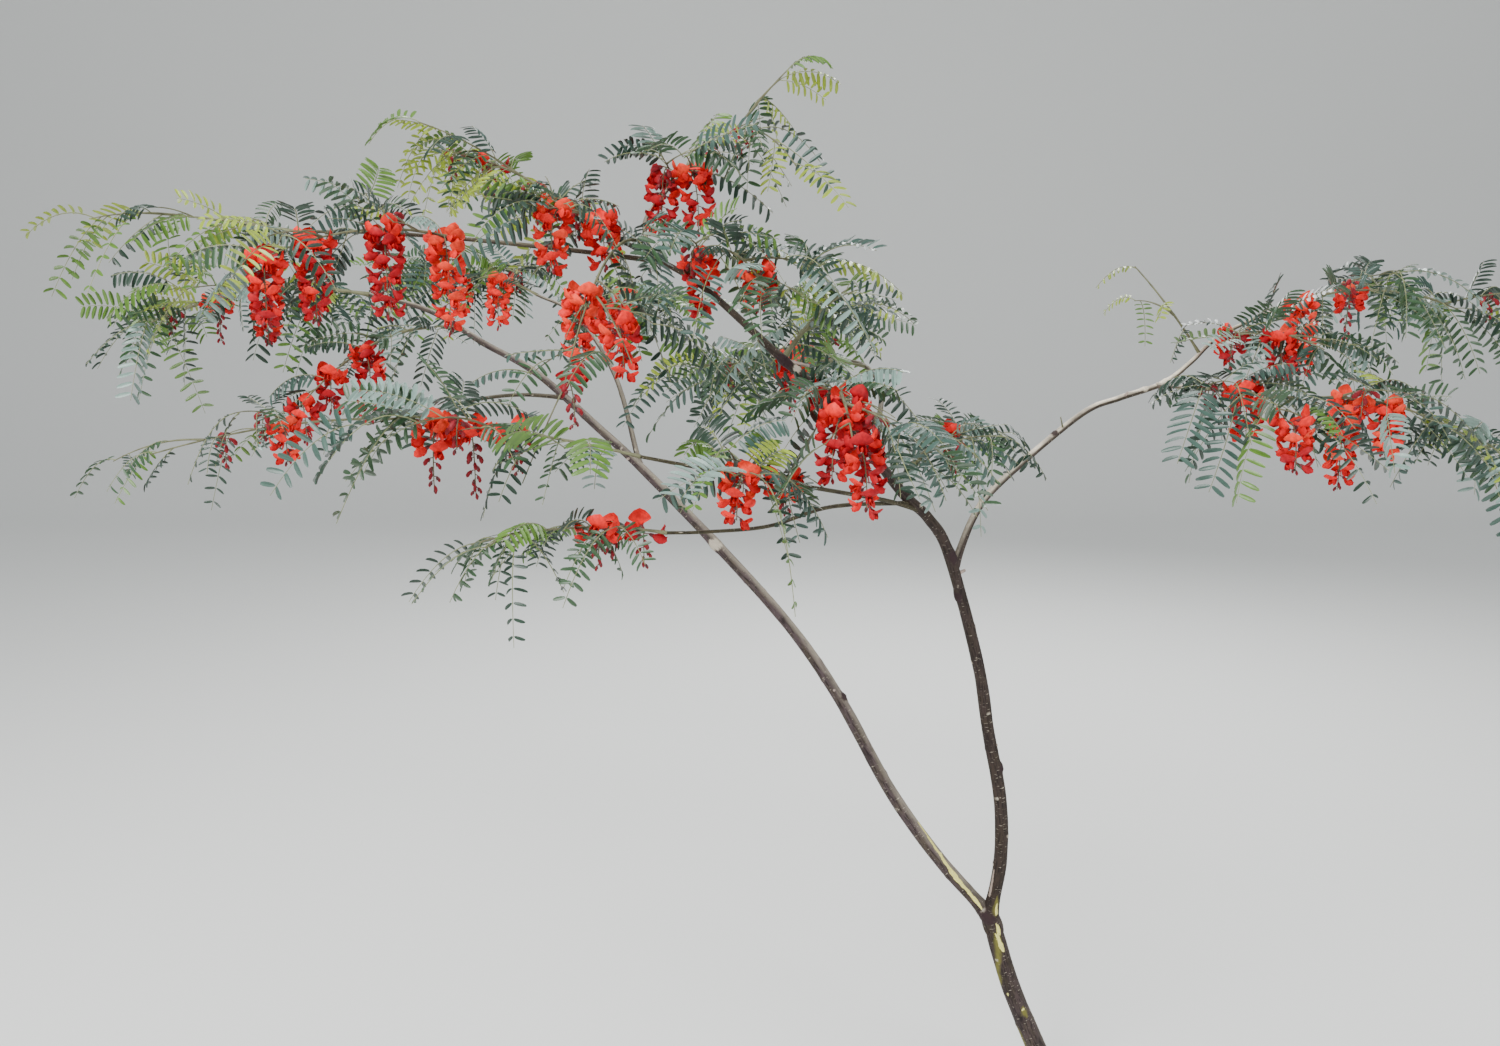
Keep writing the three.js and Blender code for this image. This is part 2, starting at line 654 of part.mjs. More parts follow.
function stemSolids(mass) {
  const bough = limbs[mass.shoot.on];
  const { at, curve } = mass.shoot;
  const foot = limbRadius(bough, at, bough.curve.getPoint(at)) * (at === 1 ? 1 : SIDE_SHOOT_SHARE);
  const steps = Math.max(3, Math.round(mass.shoot.reach / SHOOT_STEP));
  const shoot = tube(curve, (share) => lerp(foot, TIP_RADIUS, share), SHOOT_SIDES, steps);
  const twigs = mass.stems.slice(1).map((twig) => (
    tube(twig.curve, (share) => lerp(TWIG_RADIUS, TIP_RADIUS, share), TWIG_SIDES, TWIG_STEPS)
  ));
  return [shoot, ...twigs];
}

// A shoot, its twigs, leaves and racemes, joined into one solid.
function massSolid(mass) {
  growLeaves(mass);
  const stalks = mass.racemes.map(({ curve }) => (
    tube(curve, () => STALK_RADIUS, TWIG_SIDES, STALK_STRETCHES)
  ));
  const flowers = mass.racemes.flatMap(flowersOf);
  const joined = wasm.Manifold.union([
    ...stemSolids(mass), ...mass.leaves.map(leafSolid), ...stalks, ...flowers.map(flowerSolid),
  ]);
  return seat(largestPiece(joined, UNION_DETAIL), limbsRound(mass.shoot.on));
}

// The scene graph

function meshOf(name, solid, finish) {
  const { vertProperties, triVerts } = solid.getMesh();
  const geometry = new THREE.BufferGeometry();
  geometry.setAttribute('position', new THREE.BufferAttribute(vertProperties, 3));
  geometry.setIndex(new THREE.BufferAttribute(triVerts, 1));
  const mesh = new THREE.Mesh(geometry, new THREE.MeshStandardMaterial({ ...finish, flatShading: true }));
  mesh.name = name;
  return mesh;
}

const shrub = new THREE.Group();
for (const limb of Object.values(limbs)) shrub.add(meshOf(limb.name, limbSolid(limb), BARK));
for (const mass of masses) shrub.add(meshOf(mass.name, massSolid(mass), FOLIAGE));

export default shrub;
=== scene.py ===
"""A rattlebox shrub in flower, grown round its frame.

Bark, twigs, feather-shaped leaves and hanging racemes are worked out as numpy surfaces, in metres. The shrub
stands at the origin with +Z up, +X to the right of the photographed side and +Y away from it.
"""
import json
import math
from collections import namedtuple
from functools import lru_cache
from itertools import islice
from types import SimpleNamespace

import bpy
import numpy as np
from bpy.props import FloatProperty, FloatVectorProperty, IntProperty, PointerProperty
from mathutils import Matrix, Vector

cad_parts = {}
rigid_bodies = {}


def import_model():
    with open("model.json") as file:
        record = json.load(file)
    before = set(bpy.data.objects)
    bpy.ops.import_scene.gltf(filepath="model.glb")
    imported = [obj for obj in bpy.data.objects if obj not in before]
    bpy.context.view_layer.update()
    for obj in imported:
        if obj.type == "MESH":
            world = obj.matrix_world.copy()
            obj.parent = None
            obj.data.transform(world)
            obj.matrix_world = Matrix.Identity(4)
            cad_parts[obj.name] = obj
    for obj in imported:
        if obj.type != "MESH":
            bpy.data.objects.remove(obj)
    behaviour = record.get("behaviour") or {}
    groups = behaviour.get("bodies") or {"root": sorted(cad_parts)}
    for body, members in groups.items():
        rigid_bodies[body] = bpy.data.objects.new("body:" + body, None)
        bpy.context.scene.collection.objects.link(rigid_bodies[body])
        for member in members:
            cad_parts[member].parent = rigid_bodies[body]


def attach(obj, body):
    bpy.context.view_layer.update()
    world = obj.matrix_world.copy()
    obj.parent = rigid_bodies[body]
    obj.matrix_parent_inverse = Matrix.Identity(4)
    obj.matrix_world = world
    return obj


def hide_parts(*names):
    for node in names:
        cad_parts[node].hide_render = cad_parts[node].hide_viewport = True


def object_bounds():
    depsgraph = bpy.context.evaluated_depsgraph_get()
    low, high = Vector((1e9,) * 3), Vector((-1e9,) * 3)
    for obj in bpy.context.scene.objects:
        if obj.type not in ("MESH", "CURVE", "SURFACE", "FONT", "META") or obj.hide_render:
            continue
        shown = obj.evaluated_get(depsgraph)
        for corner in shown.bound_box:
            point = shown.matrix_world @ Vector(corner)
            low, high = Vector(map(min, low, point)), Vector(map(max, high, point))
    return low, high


bl_info = {
    "name": "Rattlebox Shrub",
    "version": (1, 0, 0),
    "blender": (4, 5, 0),
    "location": "View3D > Sidebar > Shrub",
    "description": "Grows the bark, twigs, leaves and racemes of a rattlebox shrub round its frame",
    "category": "Add Mesh",
}

for leftover in list(bpy.data.objects):
    bpy.data.objects.remove(leftover)
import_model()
CAD_BOX = [list(corner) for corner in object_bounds()]

MM = 0.001
UP = np.array((0.0, 0.0, 1.0))

# Clearances
LIMB_CLEARANCE = 0.008      # least distance of a twig, leaf or raceme from the bark of any limb
BORDER_CLEARANCE = 0.003    # how far a mass stays inside the border with its neighbours
LEAF_CLEARANCE = 0.014      # least distance of a leaf's blade from the ribs of others on the same mass
CROSSING_CLEARANCE = 0.004  # the same for the leaves that fill the crown
FILLING_OVERLAP = -0.035    # how far what fills the crown may pass the border, counted outwards
VEIL_RADIUS = 0.027         # how far round a raceme's stalk the view of it is kept open
VEIL_DEPTH = 0.1            # how far in front of it
VEIL_SHARE = 0.14           # the share of a leaf's blade that may lie there
VEIL_LEAST = 0.06           # the least length of such a raceme
BOX_CLEARANCE = 0.002       # how far the filling leaves may pass the frame's box
MASS_RADIUS = 0.21          # how far a mass may reach from its stems

# The trunk's foot
FLARE_HEIGHT = 0.055
FLARE_SHARE = 0.5
ROOT_RIBS = (0.12, 0.04)    # how much its root ribs stand out, and over what height they die away

# Shoots, and the rules for the twigs on them: their spacing, the range of their reach (for side twigs as a
# share of TWIG_REACH), their radii, what is added to the stem's seed, the step from one twig's seed to the
# next, how far from the foot the first stands and how far from the tip the last, in steps, and the side of
# every second one
FIRST_SEED, SEED_STEP = 101, 17
SIDE_SHOOT_SHARE = 0.75     # a shoot's radius next to its bough's, where it leaves the bough's side
SHOOT_TIP = 0.0011
TWIG_REACH = 0.42
TWIG_SPREAD = (38, 62)
TWIG_RISE = 0.6             # the share of the stem's rise that a twig keeps
TWIG_LIFT = (0, 30)
TWIG_DROOP = (0.15, 0.4)
TwigRule = namedtuple("TwigRule", "spacing reach radii seed seeds first rest hand")
SIDE = TwigRule(0.145, (0.85, 1.2), (0.0021, 0.0021 * 0.4), 0, 1000, 0.4, 0, 1)
FINE = TwigRule(0.075, (0.045, 0.09), (0.0014, 0.0007), 7, 500, 0.8, 0.3, -1)

# Leaves
LEAF_SPACING = 0.053
LEAF_STRIDE = 2
LEAF_TRIES = 14
LAST_LEAF = 0.97            # how far along a stem its last leaf is
LAST_SPREAD = (-30, 30)
LEAFY_SHARE = 0.9           # how much of a stem has leaves
LEAF_RISE = 0.5             # the share of the stem's rise that a leaf keeps
LEAF_BEND = 0.16
LEAF_LENGTH = 0.152
PETIOLE_SHARE = 0.13        # where along a leaf its pairs of leaflets begin, and where they end
PAIRS_END = 0.985
RULE_LEAFLET = 0.035
LEAFLET_SWEEP = 0.35
LEAFLET_SAG = 0.12

# Racemes, and the parts of a flower: ahead, aside and over, next to the width of its upper petal
RACEME_TRIES = 8
RACEME_TURN = (-75, 75)
FIRST_LIFT, LIFT_FALL = -15, 50
RULE_FLOWER_SPACING = 0.031
RULE_FLOWER_LENGTH = 0.032
FIRST_SIZE = 1.12
FLOWER_SHRINK = 0.4
FIRST_FLOWER = 0.25
STALK_OUT = 0.22
GOLDEN_TURN = 137.5
SHRINK_PER_TRY = 0.04
STALK_RADIUS, STALK_TAPER = 0.0012, 0.0005
PEDICEL_WIDTH = 0.0012
CALYX_SIZE = (0.24, 0.22, 0.22)
BUD_SIZE = (0.72, 0.85, 0.85)
WING_SIZE = (0.82, 0.95, 0.95)
WING_SPREAD = 0.3
KEEL_SIZE = (0.78, 0.8, 0.8)

SHARP_ANGLE = math.radians(55)  # two faces of a piece that meet at more than this have a sharp edge

# The stage: the lights each have a place, a size and a share of the key light's power
LIGHTS = {
    "key": ((-2.6, -2.8, 3.6), 2.6, 1),
    "fill": ((3.2, -2.4, 2.2), 2.4, 0.35),
    "back": ((0.5, 3.0, 3.4), 2.4, 0.5),
}
CROWN_MIDDLE = (-0.4, 0.0, 1.1)
SKY = (0.94, 0.97, 1, 1)
SKY_STRENGTH = 0.62
CAMERA_PLACE = (-0.5447, -2.1465)
FLOOR_FRONT, FLOOR_SIDE = -9, 14.0
WALL_FOOT, WALL_BEND, WALL_TOP = 6, 2.5, 9

# The share of grown leaves that have each tint or one before it, all leaves' tints, the tints of petals and
# the other parts of a raceme, and the side petals' tint by the upper petal's
# The palest grown tint, after grey, is a painted reflection: a lighter base colour that stands for the sky's
# sheen on the leaves that get it
GROWN_TINTS = {"deep": 0.4, "middle": 0.72, "grey": 0.87, "silver": 0.95, "fresh": 1}
LEAF_TINTS = (*GROWN_TINTS, "young")
YOUNG_TINTS = ("fresh", "young")
PETALS = ("orange", "scarlet", "red", "crimson")
CUPS = ("calyx", "bud", "stalk")
DEEPER = {"orange": "scarlet", "scarlet": "red", "crimson": "crimson"}

# Straight stretches that stand for a curve when distances to it are measured
LIMB_STRETCHES = 16
SHOOT_STRETCHES = 6
TWIG_STRETCHES = 2
STALK_STRETCHES = 2
LEAF_STRETCHES = 3

# Limbs in the order they grow: what each grows from and how far along, its radius at foot and tip, and the
# points its middle runs through, in millimetres.
LIMBS = {
    "trunk": (None, 0, (17, 15.5), [(25, 0, -60), (0, 0, 0), (-30, 0, 75), (-80, 0, 195), (-120, 0, 325)]),
    "left_leader_low": ("trunk", 1, (12, 9.5), [
        (-210, 20, 425), (-295, 50, 540), (-385, 80, 700), (-475, 120, 825), (-610, 160, 970)]),
    "left_leader_high": ("left_leader_low", 1, (9.5, 6), [
        (-745, 210, 1100), (-820, 240, 1165), (-940, 280, 1265), (-1040, 300, 1320)]),
    "left_leader_tip": ("left_leader_high", 1, (6, 3.6), [(-1140, 300, 1380), (-1245, 280, 1410)]),
    "right_leader_low": ("trunk", 1, (12, 9), [
        (-110, -20, 440), (-118, -40, 560), (-146, -60, 690), (-170, -80, 810), (-230, -130, 1003)]),
    "right_leader_high": ("right_leader_low", 1, (9, 6.2), [
        (-267, -150, 1065), (-314, -170, 1112), (-418, -210, 1242), (-503, -220, 1320)]),
    "right_leader_tip": ("right_leader_high", 1, (6, 3.2), [
        (-613, -190, 1418), (-687, -160, 1462), (-766, -120, 1501)]),
    "right_bough": ("right_leader_low", 0.975, (6.2, 4.6), [
        (-186, -100, 1062), (-135, -60, 1113), (6, 20, 1211), (79, 50, 1237), (160, 80, 1260)]),
    "right_high_bough": ("right_bough", 1, (4.4, 2.8), [
        (218, 120, 1293), (285, 165, 1339), (416, 220, 1391)]),
    "right_low_bough": ("right_bough", 0.97, (3.8, 2.6), [
        (206, 30, 1255), (255, -20, 1252), (328, -80, 1245)]),
    "front_bough": ("right_leader_high", 0.32, (3.5, 2.4), [
        (-336, -200, 1100), (-410, -270, 1123), (-561, -390, 1165), (-689, -440, 1196)]),
    "front_low_bough": ("right_leader_high", 0.42, (3.4, 2.3), [
        (-424, -250, 1099), (-518, -330, 1084), (-606, -400, 1088), (-656, -430, 1092)]),
    "left_low_bough": ("left_leader_high", 0.64, (4, 2.6), [
        (-968, 250, 1228), (-1048, 200, 1221), (-1148, 120, 1195)]),
    "far_left_bough": ("right_leader_tip", 0.62, (4, 2.4), [
        (-828, -170, 1475), (-1008, -160, 1493), (-1149, -130, 1502), (-1237, -100, 1503)]),
    "top_bough": ("right_leader_tip", 0.7, (3.8, 2.4), [
        (-706, -100, 1518), (-681, -50, 1562), (-628, 0, 1627), (-569, 20, 1668)]),
    "back_left_bough": ("left_leader_high", 0.25, (5, 2.8), [
        (-800, 320, 1260), (-890, 460, 1370), (-985, 590, 1410)]),
    "back_right_bough": ("right_leader_high", 0.62, (4.6, 2.8), [
        (-335, -60, 1250), (-350, 120, 1290), (-420, 290, 1290)]),
}

# Masses of foliage: the bough each shoot grows from and how far along, its heading and rise in degrees, its
# reach in millimetres, its droop, the share of young leaves at its tips, and its racemes, each by how far
# along the shoot it hangs, the side it leaves on and its length in millimetres.
MASSES = {
    "left_tip": ("far_left_bough", 1, 168, 10, 285, 0.06, 1.7, []),
    "left_high": ("far_left_bough", 0.47, 202, 14, 275, 0.36, 0.2, [
        (0.05, 1, 145), (0.38, 1, 130), (0.74, -1, 120), (1, -1, 100)]),
    "left_middle": ("left_leader_tip", 1, 186, 10, 395, 0.3, 0.5, [(0.46, 1, 95), (0.7, -1, 75)]),
    "left_inner": ("left_leader_tip", 0.2, 219, 12, 330, 0.62, 0.0, [
        (0.6, 1, 125), (0.78, -1, 70), (0.96, 1, 65)]),
    "left_low": ("left_low_bough", 1, 215, 5, 415, 0.17, 0.25, [(0.5, 1, 60), (0.72, -1, 50)]),
    "upper_left": ("right_leader_tip", 1, 149, 35, 430, 0.24, 1.2, [(0.4, -1, 60), (0.62, 1, 60)]),
    "top": ("top_bough", 1, 25, 50, 145, 0.08, 1.7, []),
    "top_right": ("top_bough", 0.86, 315, 30, 210, 0.73, 0.6, [(0.05, -1, 60)]),
    "crown_left": ("right_leader_tip", 0.86, 238, 30, 205, 0.3, 0.0, [(0.4, 1, 70), (0.85, -1, 85)]),
    "crown_right": ("top_bough", 0.4, 309, 45, 180, 0.43, 0.2, [(0.35, -1, 75), (0.7, 1, 95)]),
    "arch_left": ("right_leader_tip", 0.66, 243, 38, 315, 1.2, 0.0, [
        (0.05, -1, 80), (0.7, -1, 105), (0.97, 1, 62)]),
    "arch_right": ("right_leader_tip", 0.45, 310, 40, 255, 0.78, 0.1, [
        (0.02, -1, 90), (0.15, 1, 95), (0.8, 1, 55)]),
    "centre_right": ("right_leader_high", 0.98, 59, 35, 258, 0.17, 0.5, []),
    "inner_right": ("right_leader_high", 0.52, 42, 40, 350, 0.47, 0.35, [(0.54, 1, 55)]),
    "centre_front": ("right_leader_high", 0.78, 274, 25, 280, 0.54, 0.0, [
        (0.2, -1, 60), (0.62, 1, 90), (0.8, -1, 90), (1, 1, 90)]),
    "front_middle": ("front_bough", 1, 176, 14, 288, 0.1, 0.2, [
        (0.6, -1, 55), (0.82, -1, 95), (0.98, 1, 85)]),
    "front_low": ("front_low_bough", 1, 184, 10, 265, 0.22, 0.2, [(0.12, -1, 50), (0.35, 1, 50)]),
    "centre_low": ("front_bough", 0.62, 243, 22, 205, 0.2, 0.1, [(0.3, 1, 48), (0.82, -1, 64)]),
    "right_small": ("right_high_bough", 0.45, 185, 55, 216, 0.13, 0.8, []),
    "right_high": ("right_high_bough", 1, 11, 18, 426, 0.38, 0.25, [(0.05, -1, 125), (0.34, 1, 85)]),
    "right_middle": ("right_high_bough", 0.62, 302, 18, 225, 0.36, 0.1, [(0.2, -1, 60), (0.58, 1, 75)]),
    "right_low": ("right_low_bough", 1, 348, 8, 284, 0.4, 0.15, [(0.26, 1, 150), (0.45, -1, 80)]),
    "right_under": ("right_low_bough", 0.4, 278, 12, 256, 0.33, 0.1, [(0.4, 1, 80), (1, 1, 75)]),
    "back_left": ("back_left_bough", 1, 150, 25, 330, 0.35, 0.4, [(0.3, 1, 100), (0.75, -1, 80)]),
    "back_middle": ("back_left_bough", 0.62, 62, 30, 300, 0.35, 0.2, [(0.3, -1, 70), (0.7, 1, 100)]),
    "back_right": ("back_right_bough", 1, 100, 12, 320, 0.35, 0.4, [(0.35, 1, 70), (0.8, -1, 65)]),
    "back_side": ("back_right_bough", 0.62, 165, 14, 280, 0.35, 0.3, [(0.5, -1, 90)]),
}

# How many masses, in the table's order, each part of the crown has. Their twigs, leaves and blossom are
# joined there, each kind apart.
REGIONS = {"left": 5, "top": 5, "centre": 5, "front": 3, "right": 5, "back": 4}

# Masses that aren't full: how long their leaves are next to full-grown ones, and how much filling they get
THIN = {
    "left_tip": (0.8, 0.35), "left_low": (0.6, 0.3), "upper_left": (0.85, 0.6), "top": (0.8, 0.2),
    "top_right": (0.85, 0.4), "centre_right": (1, 0.6), "inner_right": (0.8, 0.6), "front_low": (0.75, 0.6),
    "right_small": (0.55, 0.1), "right_high": (1, 0.7), "right_low": (1, 0.8), "right_under": (1, 0.7),
}

# The share of each raceme's flowers that are open, raceme by raceme, on masses where some are in bud
OPEN_SHARES = {
    "left_middle": (0.9, 0.4), "left_inner": (0.9, 0.9, 0.8), "left_low": (0.85, 0), "upper_left": (0, 0.1),
    "top_right": (0,), "arch_left": (0.8, 0.9, 0.15), "arch_right": (1, 0.9, 0.85), "inner_right": (0.1,),
    "centre_front": (0.6, 1, 1, 0.95), "front_middle": (0.1, 0.35, 0.5), "front_low": (0.4, 0.35),
    "centre_low": (0.7, 0.95), "right_high": (0.95, 0.5), "right_middle": (0.7, 0.9), "back_side": (0.6,),
}
OPEN_SHARE = 0.9

# The racemes on side twigs: how far along, the side of the first, their length in millimetres and the share
# that is open. They are short and in bud but for one.
SIDE_RACEME = (0.45, -1, 42, 0)
SIDE_RACEMES = {"arch_left": (0.55, 1, 70, 1)}

# Heights below which a mass has no leaf, where the photo shows a limb bare
LOWEST = {"centre_front": 1.06}

# Bare twigs and broken stubs: the mass or limb each grows from and how far along, its heading and rise in
# degrees, its reach, its droop, and its radius at foot and tip, in millimetres
BARE_TWIGS = [
    ("arch_left", 0.99, 215, -60, 130, 0.1, (1.3, 0.7)), ("arch_left", 0.72, 238, -35, 70, 0.3, (1.1, 0.6)),
    ("front_bough", 0.55, 205, 40, 60, 0.2, (1.2, 0.7)),
    ("far_left_bough", 0.25, 230, -20, 70, 0.4, (1.2, 0.6)),
    ("right_bough", 0.55, 250, 35, 45, 0.1, (1.6, 1)), ("top_bough", 0.62, 120, 30, 70, 0.2, (1.2, 0.6)),
]
STUBS = [
    ("right_leader_high", 0.97, 350, -5, 36, 0.1, (3.4, 2.2)),
    ("right_leader_low", 0.965, 20, 20, 20, 0, (3.2, 2.4)),
    ("right_leader_low", 0.55, 330, 35, 12, 0, (2.6, 2)), ("left_leader_low", 0.62, 260, 25, 12, 0, (2.6, 2)),
    ("left_leader_high", 0.3, 250, -10, 14, 0, (2.4, 1.8)), ("right_bough", 0.82, 280, 30, 16, 0, (2.2, 1.6)),
]

# Barks: the limbs that follow each other under each, how reddish dark it is, and how much painted sunlight
# lightens the side of it that faces up
BARKS = {
    "trunk": (["trunk"], 0.35, 0.1),
    "left_leader": (["left_leader_low", "left_leader_high", "left_leader_tip"], 0, 0.3),
    "right_leader": (["right_leader_low", "right_leader_high", "right_leader_tip"], 0.75, 0.05),
    "right_bough": (["right_bough", "right_high_bough"], 0.6, 1),
    "right_low_bough": (["right_low_bough"], 0.1, 0.6),
    "front_bough": (["front_bough"], 1, 0),
    "front_low_bough": (["front_low_bough"], 1, 0),
    "left_low_bough": (["left_low_bough"], 0.7, 0.1),
    "far_left_bough": (["far_left_bough"], 0.8, 0.1),
    "top_bough": (["top_bough"], 0.4, 0.3),
    "back_left_bough": (["back_left_bough"], 0.3, 0.3),
    "back_right_bough": (["back_right_bough"], 0.5, 0.2),
}

BARK_STEP = 0.004            # from ring to ring
PATH_SAMPLES = 1500
FOOT_SAMPLE = 299            # the trunk's sample at which its bark sets out
THICK = 0.01                 # the radius over which a bark has as many sides as a leader
LEADER_SIDES = 28
BOUGH_SIDES = 14
SCAR_SPACING = 0.05
SCAR_LENGTH = 0.004
SCAR_WIDTH = 0.5             # in radians
FORK_TAPER = (0.45, 0.018)   # how much the trunk narrows inside the leaders' feet, and over what length
LEADER_SET_OUT = 0.92        # the share of the trunk at which the leaders' barks set out inside it
LEADER_FOOT = (0.22, 0.03)   # how much a leader widens where the trunk ends, and over what length
COLLAR = 0.45                # how much a bough widens where it leaves a limb
FORK_HEIGHT = 0.325
FORK_DARK = (0.45, 0.12)     # how much darker bark is at the fork, and over what height it dies away
FORK_TONE = 0.04             # the height over which the leaders take the trunk's tone

# Lines down a bark, each by places on it: a height, a facing in degrees (0 looks at the viewer, 90 to the
# right) and a half width in degrees. They show where it has peeled, where it is mossy and where it is
# whitened. The leaders carry on the trunk's.
TRUNK_STREAK = [
    (0.262, 20, 0), (0.268, 18, 18), (0.278, 14, 24), (0.29, 8, 16), (0.3, 10, 24), (0.312, 14, 18),
    (0.322, 18, 0)]
TRUNK_MOSS = [
    (0.2, -70, 0), (0.215, -72, 40), (0.235, -60, 34), (0.25, -30, 30), (0.29, 4, 42), (0.315, 4, 0)]
PEELED = {
    "left_leader": [
        TRUNK_STREAK,
        [(0.343, 0, 0), (0.35, 2, 20), (0.36, 8, 24), (0.372, 14, 20), (0.386, 16, 24), (0.395, 16, 34),
         (0.404, 22, 30), (0.412, 30, 18), (0.43, 42, 20), (0.446, 50, 17), (0.466, 62, 14), (0.482, 70, 12),
         (0.49, 72, 0)]],
    "right_leader": [
        TRUNK_STREAK,
        [(0.336, 34, 0), (0.342, 30, 18), (0.35, 28, 22), (0.358, 24, 12), (0.366, 20, 0)]],
    "trunk": [
        TRUNK_STREAK,
        [(0.15, 22, 0), (0.155, 20, 18), (0.16, 20, 0)],
        [(0.184, -34, 0), (0.188, -35, 18), (0.193, -35, 0)]],
}
MOSSY = {
    "left_leader": [TRUNK_MOSS],
    "right_leader": [TRUNK_MOSS, [(0.334, 24, 0), (0.342, 24, 44), (0.362, 22, 34), (0.378, 10, 0)]],
    "trunk": [
        TRUNK_MOSS,
        [(0.08, -75, 0), (0.09, -78, 34), (0.12, -76, 30), (0.13, -75, 0)],
        [(0.138, 26, 0), (0.15, 22, 38), (0.164, 20, 0)]],
}
WHITENED = {
    "right_leader": [[(0.366, -55, 0), (0.375, -58, 22), (0.41, -62, 20), (0.425, -64, 0)]],
}

# Swellings on a bark, each with its height, its facing in degrees, its size and its rise in radii: dark ones
# where twigs once left it, and pale ones where wood shows
DARK_KNOTS = [
    ("left_leader", 0.331, -2, 0.016, 0.26), ("right_leader", 0.331, -24, 0.014, 0.24),
    ("right_leader", 1.0, 50, 0.014, 0.25),
    ("right_leader", 1.312, -10, 0.01, 0.5), ("right_leader", 0.935, -60, 0.009, 0.35),
    ("left_leader", 0.7, 70, 0.008, 0.35), ("right_leader", 0.62, 70, 0.008, 0.3),
    ("right_bough", 1.18, -60, 0.006, 0.35),
]
PALE_KNOTS = [
    ("left_leader", 0.966, -10, 0.012, 0.45), ("right_bough", 1.262, 10, 0.009, 0.7),
    ("right_bough", 1.249, -50, 0.006, 0.5), ("right_leader", 1.298, 30, 0.006, 0.6),
]

Arch = namedtuple("Arch", "start heading rise reach droop roll bend", defaults=(0.0, 0.0))
Stem = namedtuple("Stem", "arch foot tip seed")


# Curves

def unit(vectors):
    """Vectors brought to length one."""
    return vectors / np.linalg.norm(vectors, axis=-1, keepdims=True)


def direction(heading, rise):
    """Unit vectors from headings (0 is +X, 90 is +Y) and rises, both in degrees."""
    turn, lift = np.radians(heading), np.radians(rise)
    turn, lift = np.broadcast_arrays(turn, lift)
    return np.stack([np.cos(lift) * np.cos(turn), np.cos(lift) * np.sin(turn), np.sin(lift)], axis=-1)


def rolled(aside, over, roll):
    """Ways aside and over, turned together about the way ahead by a roll in degrees."""
    cos, sin = (wave(np.radians(roll))[..., None] for wave in (np.cos, np.sin))
    return aside * cos + over * sin, over * cos - aside * sin


def turns_of(sides):
    """The angles of a ring's corners."""
    return 2 * math.pi * np.arange(sides) / sides


def bell(value):
    """A bell, 1 in its middle: it falls with the square of the value."""
    return np.exp(-(value**2))


def turned(angle):
    """Angles brought to between minus half a turn and half a turn."""
    return np.angle(np.exp(1j * angle))


def ways(arch, shares):
    """The middle of an arch at shares of it, and its ways ahead, aside and over there.

    An arch goes straight out along its heading and rise, falls below that line by its droop times its reach
    times the square of the share, and leaves it sideways by its bend in the same way. Aside is level but for
    the arch's roll.
    """
    start, *numbers = (np.asarray(value, float) for value in arch)
    heading, rise, reach, droop, roll, bend = (value[..., None] for value in numbers)
    out, level = direction(heading, rise), direction(heading + 90, 0)
    sink = (droop * shares)[..., None] * UP - (bend * shares)[..., None] * level
    middle = start[..., None, :] + (reach * shares)[..., None] * (out - sink)
    ahead = unit(out - 2 * sink)
    aside = unit(level - (level * ahead).sum(-1, keepdims=True) * ahead)
    return middle, ahead, *rolled(aside, np.cross(ahead, aside), roll)


def middle_of(arch, shares):
    """Points on an arch's middle; a single point for a single share."""
    points = ways(arch, np.atleast_1d(shares))[0]
    return points if np.ndim(shares) else points[0]


def rise_at(arch, share):
    """How steeply an arch climbs at a share of it, in degrees."""
    return math.degrees(math.asin(ways(arch, np.array([share]))[1][0, 2]))


def stalk(raceme, shares):
    """A raceme's stalk: it leaves sideways, slows as a parabola, and falls with the square of the share."""
    out = direction(raceme.heading, 0) * raceme.length * STALK_OUT
    shares = np.asarray(shares, float)[..., None]
    return raceme.start + out * (2 * shares - shares**2) - UP * raceme.length * shares**2


def spline(points):
    """A curve through points: between two of them a cubic, whose slope at each is half the way between the
    points on either side of it."""
    before, after = 2 * points[0] - points[1], 2 * points[-1] - points[-2]
    padded = np.vstack([before, points, after])
    spans = len(points) - 1

    def curve(shares):
        place = np.clip(np.asarray(shares, float), 0, 1) * spans
        span = np.minimum(place.astype(int), spans - 1)
        w = (place - span)[..., None]
        p0, p1, p2, p3 = (padded[span + i] for i in range(4))
        slope1, slope2 = (p2 - p0) / 2, (p3 - p1) / 2
        cubic = 2 * p1 - 2 * p2 + slope1 + slope2
        square = 3 * p2 - 3 * p1 - 2 * slope1 - slope2
        return ((cubic * w + square) * w + slope1) * w + p1

    return curve


# Growth, by the rule that the solids grow by

def seeded(seed):
    """A source of numbers between two bounds: each state is the last one times a factor plus a step, and what
    is left of that over whole turns of the states."""
    state = seed
    factor, step, states = 1664525, 1013904223, 2**32

    def draw(low, high):
        nonlocal state
        state = (state * factor + step) % states
        return low + (high - low) * state / states

    return draw


def seeded_share(seed):
    """One share from a seed, with the first number, which is much the same for near seeds, thrown away."""
    draw = seeded(seed)
    draw(0, 1)
    return draw(0, 1)


def rounded(value):
    """The nearest whole number, halves upwards."""
    return math.floor(value + 0.5)


def limb_radius(limb, share, height):
    """A limb's radius: even taper, and on the trunk a flare that dies away exponentially with height."""
    plain = limb.radius[0] + (limb.radius[1] - limb.radius[0]) * share
    flare = 0 if limb.on else FLARE_SHARE * np.exp(-np.maximum(height, 0) / FLARE_HEIGHT)
    return plain * (1 + flare)


def grow_limbs():
    """The limbs by name, each with its curve, which starts on the limb that it grows from."""
    limbs = {}
    for name, (on, at, radius, via) in LIMBS.items():
        points = np.array(via, float) * MM
        if on:
            points = np.vstack([limbs[on].curve(at), points])
        radius = np.array(radius) * MM
        limbs[name] = SimpleNamespace(on=on, radius=radius, points=points, curve=spline(points))
    return limbs


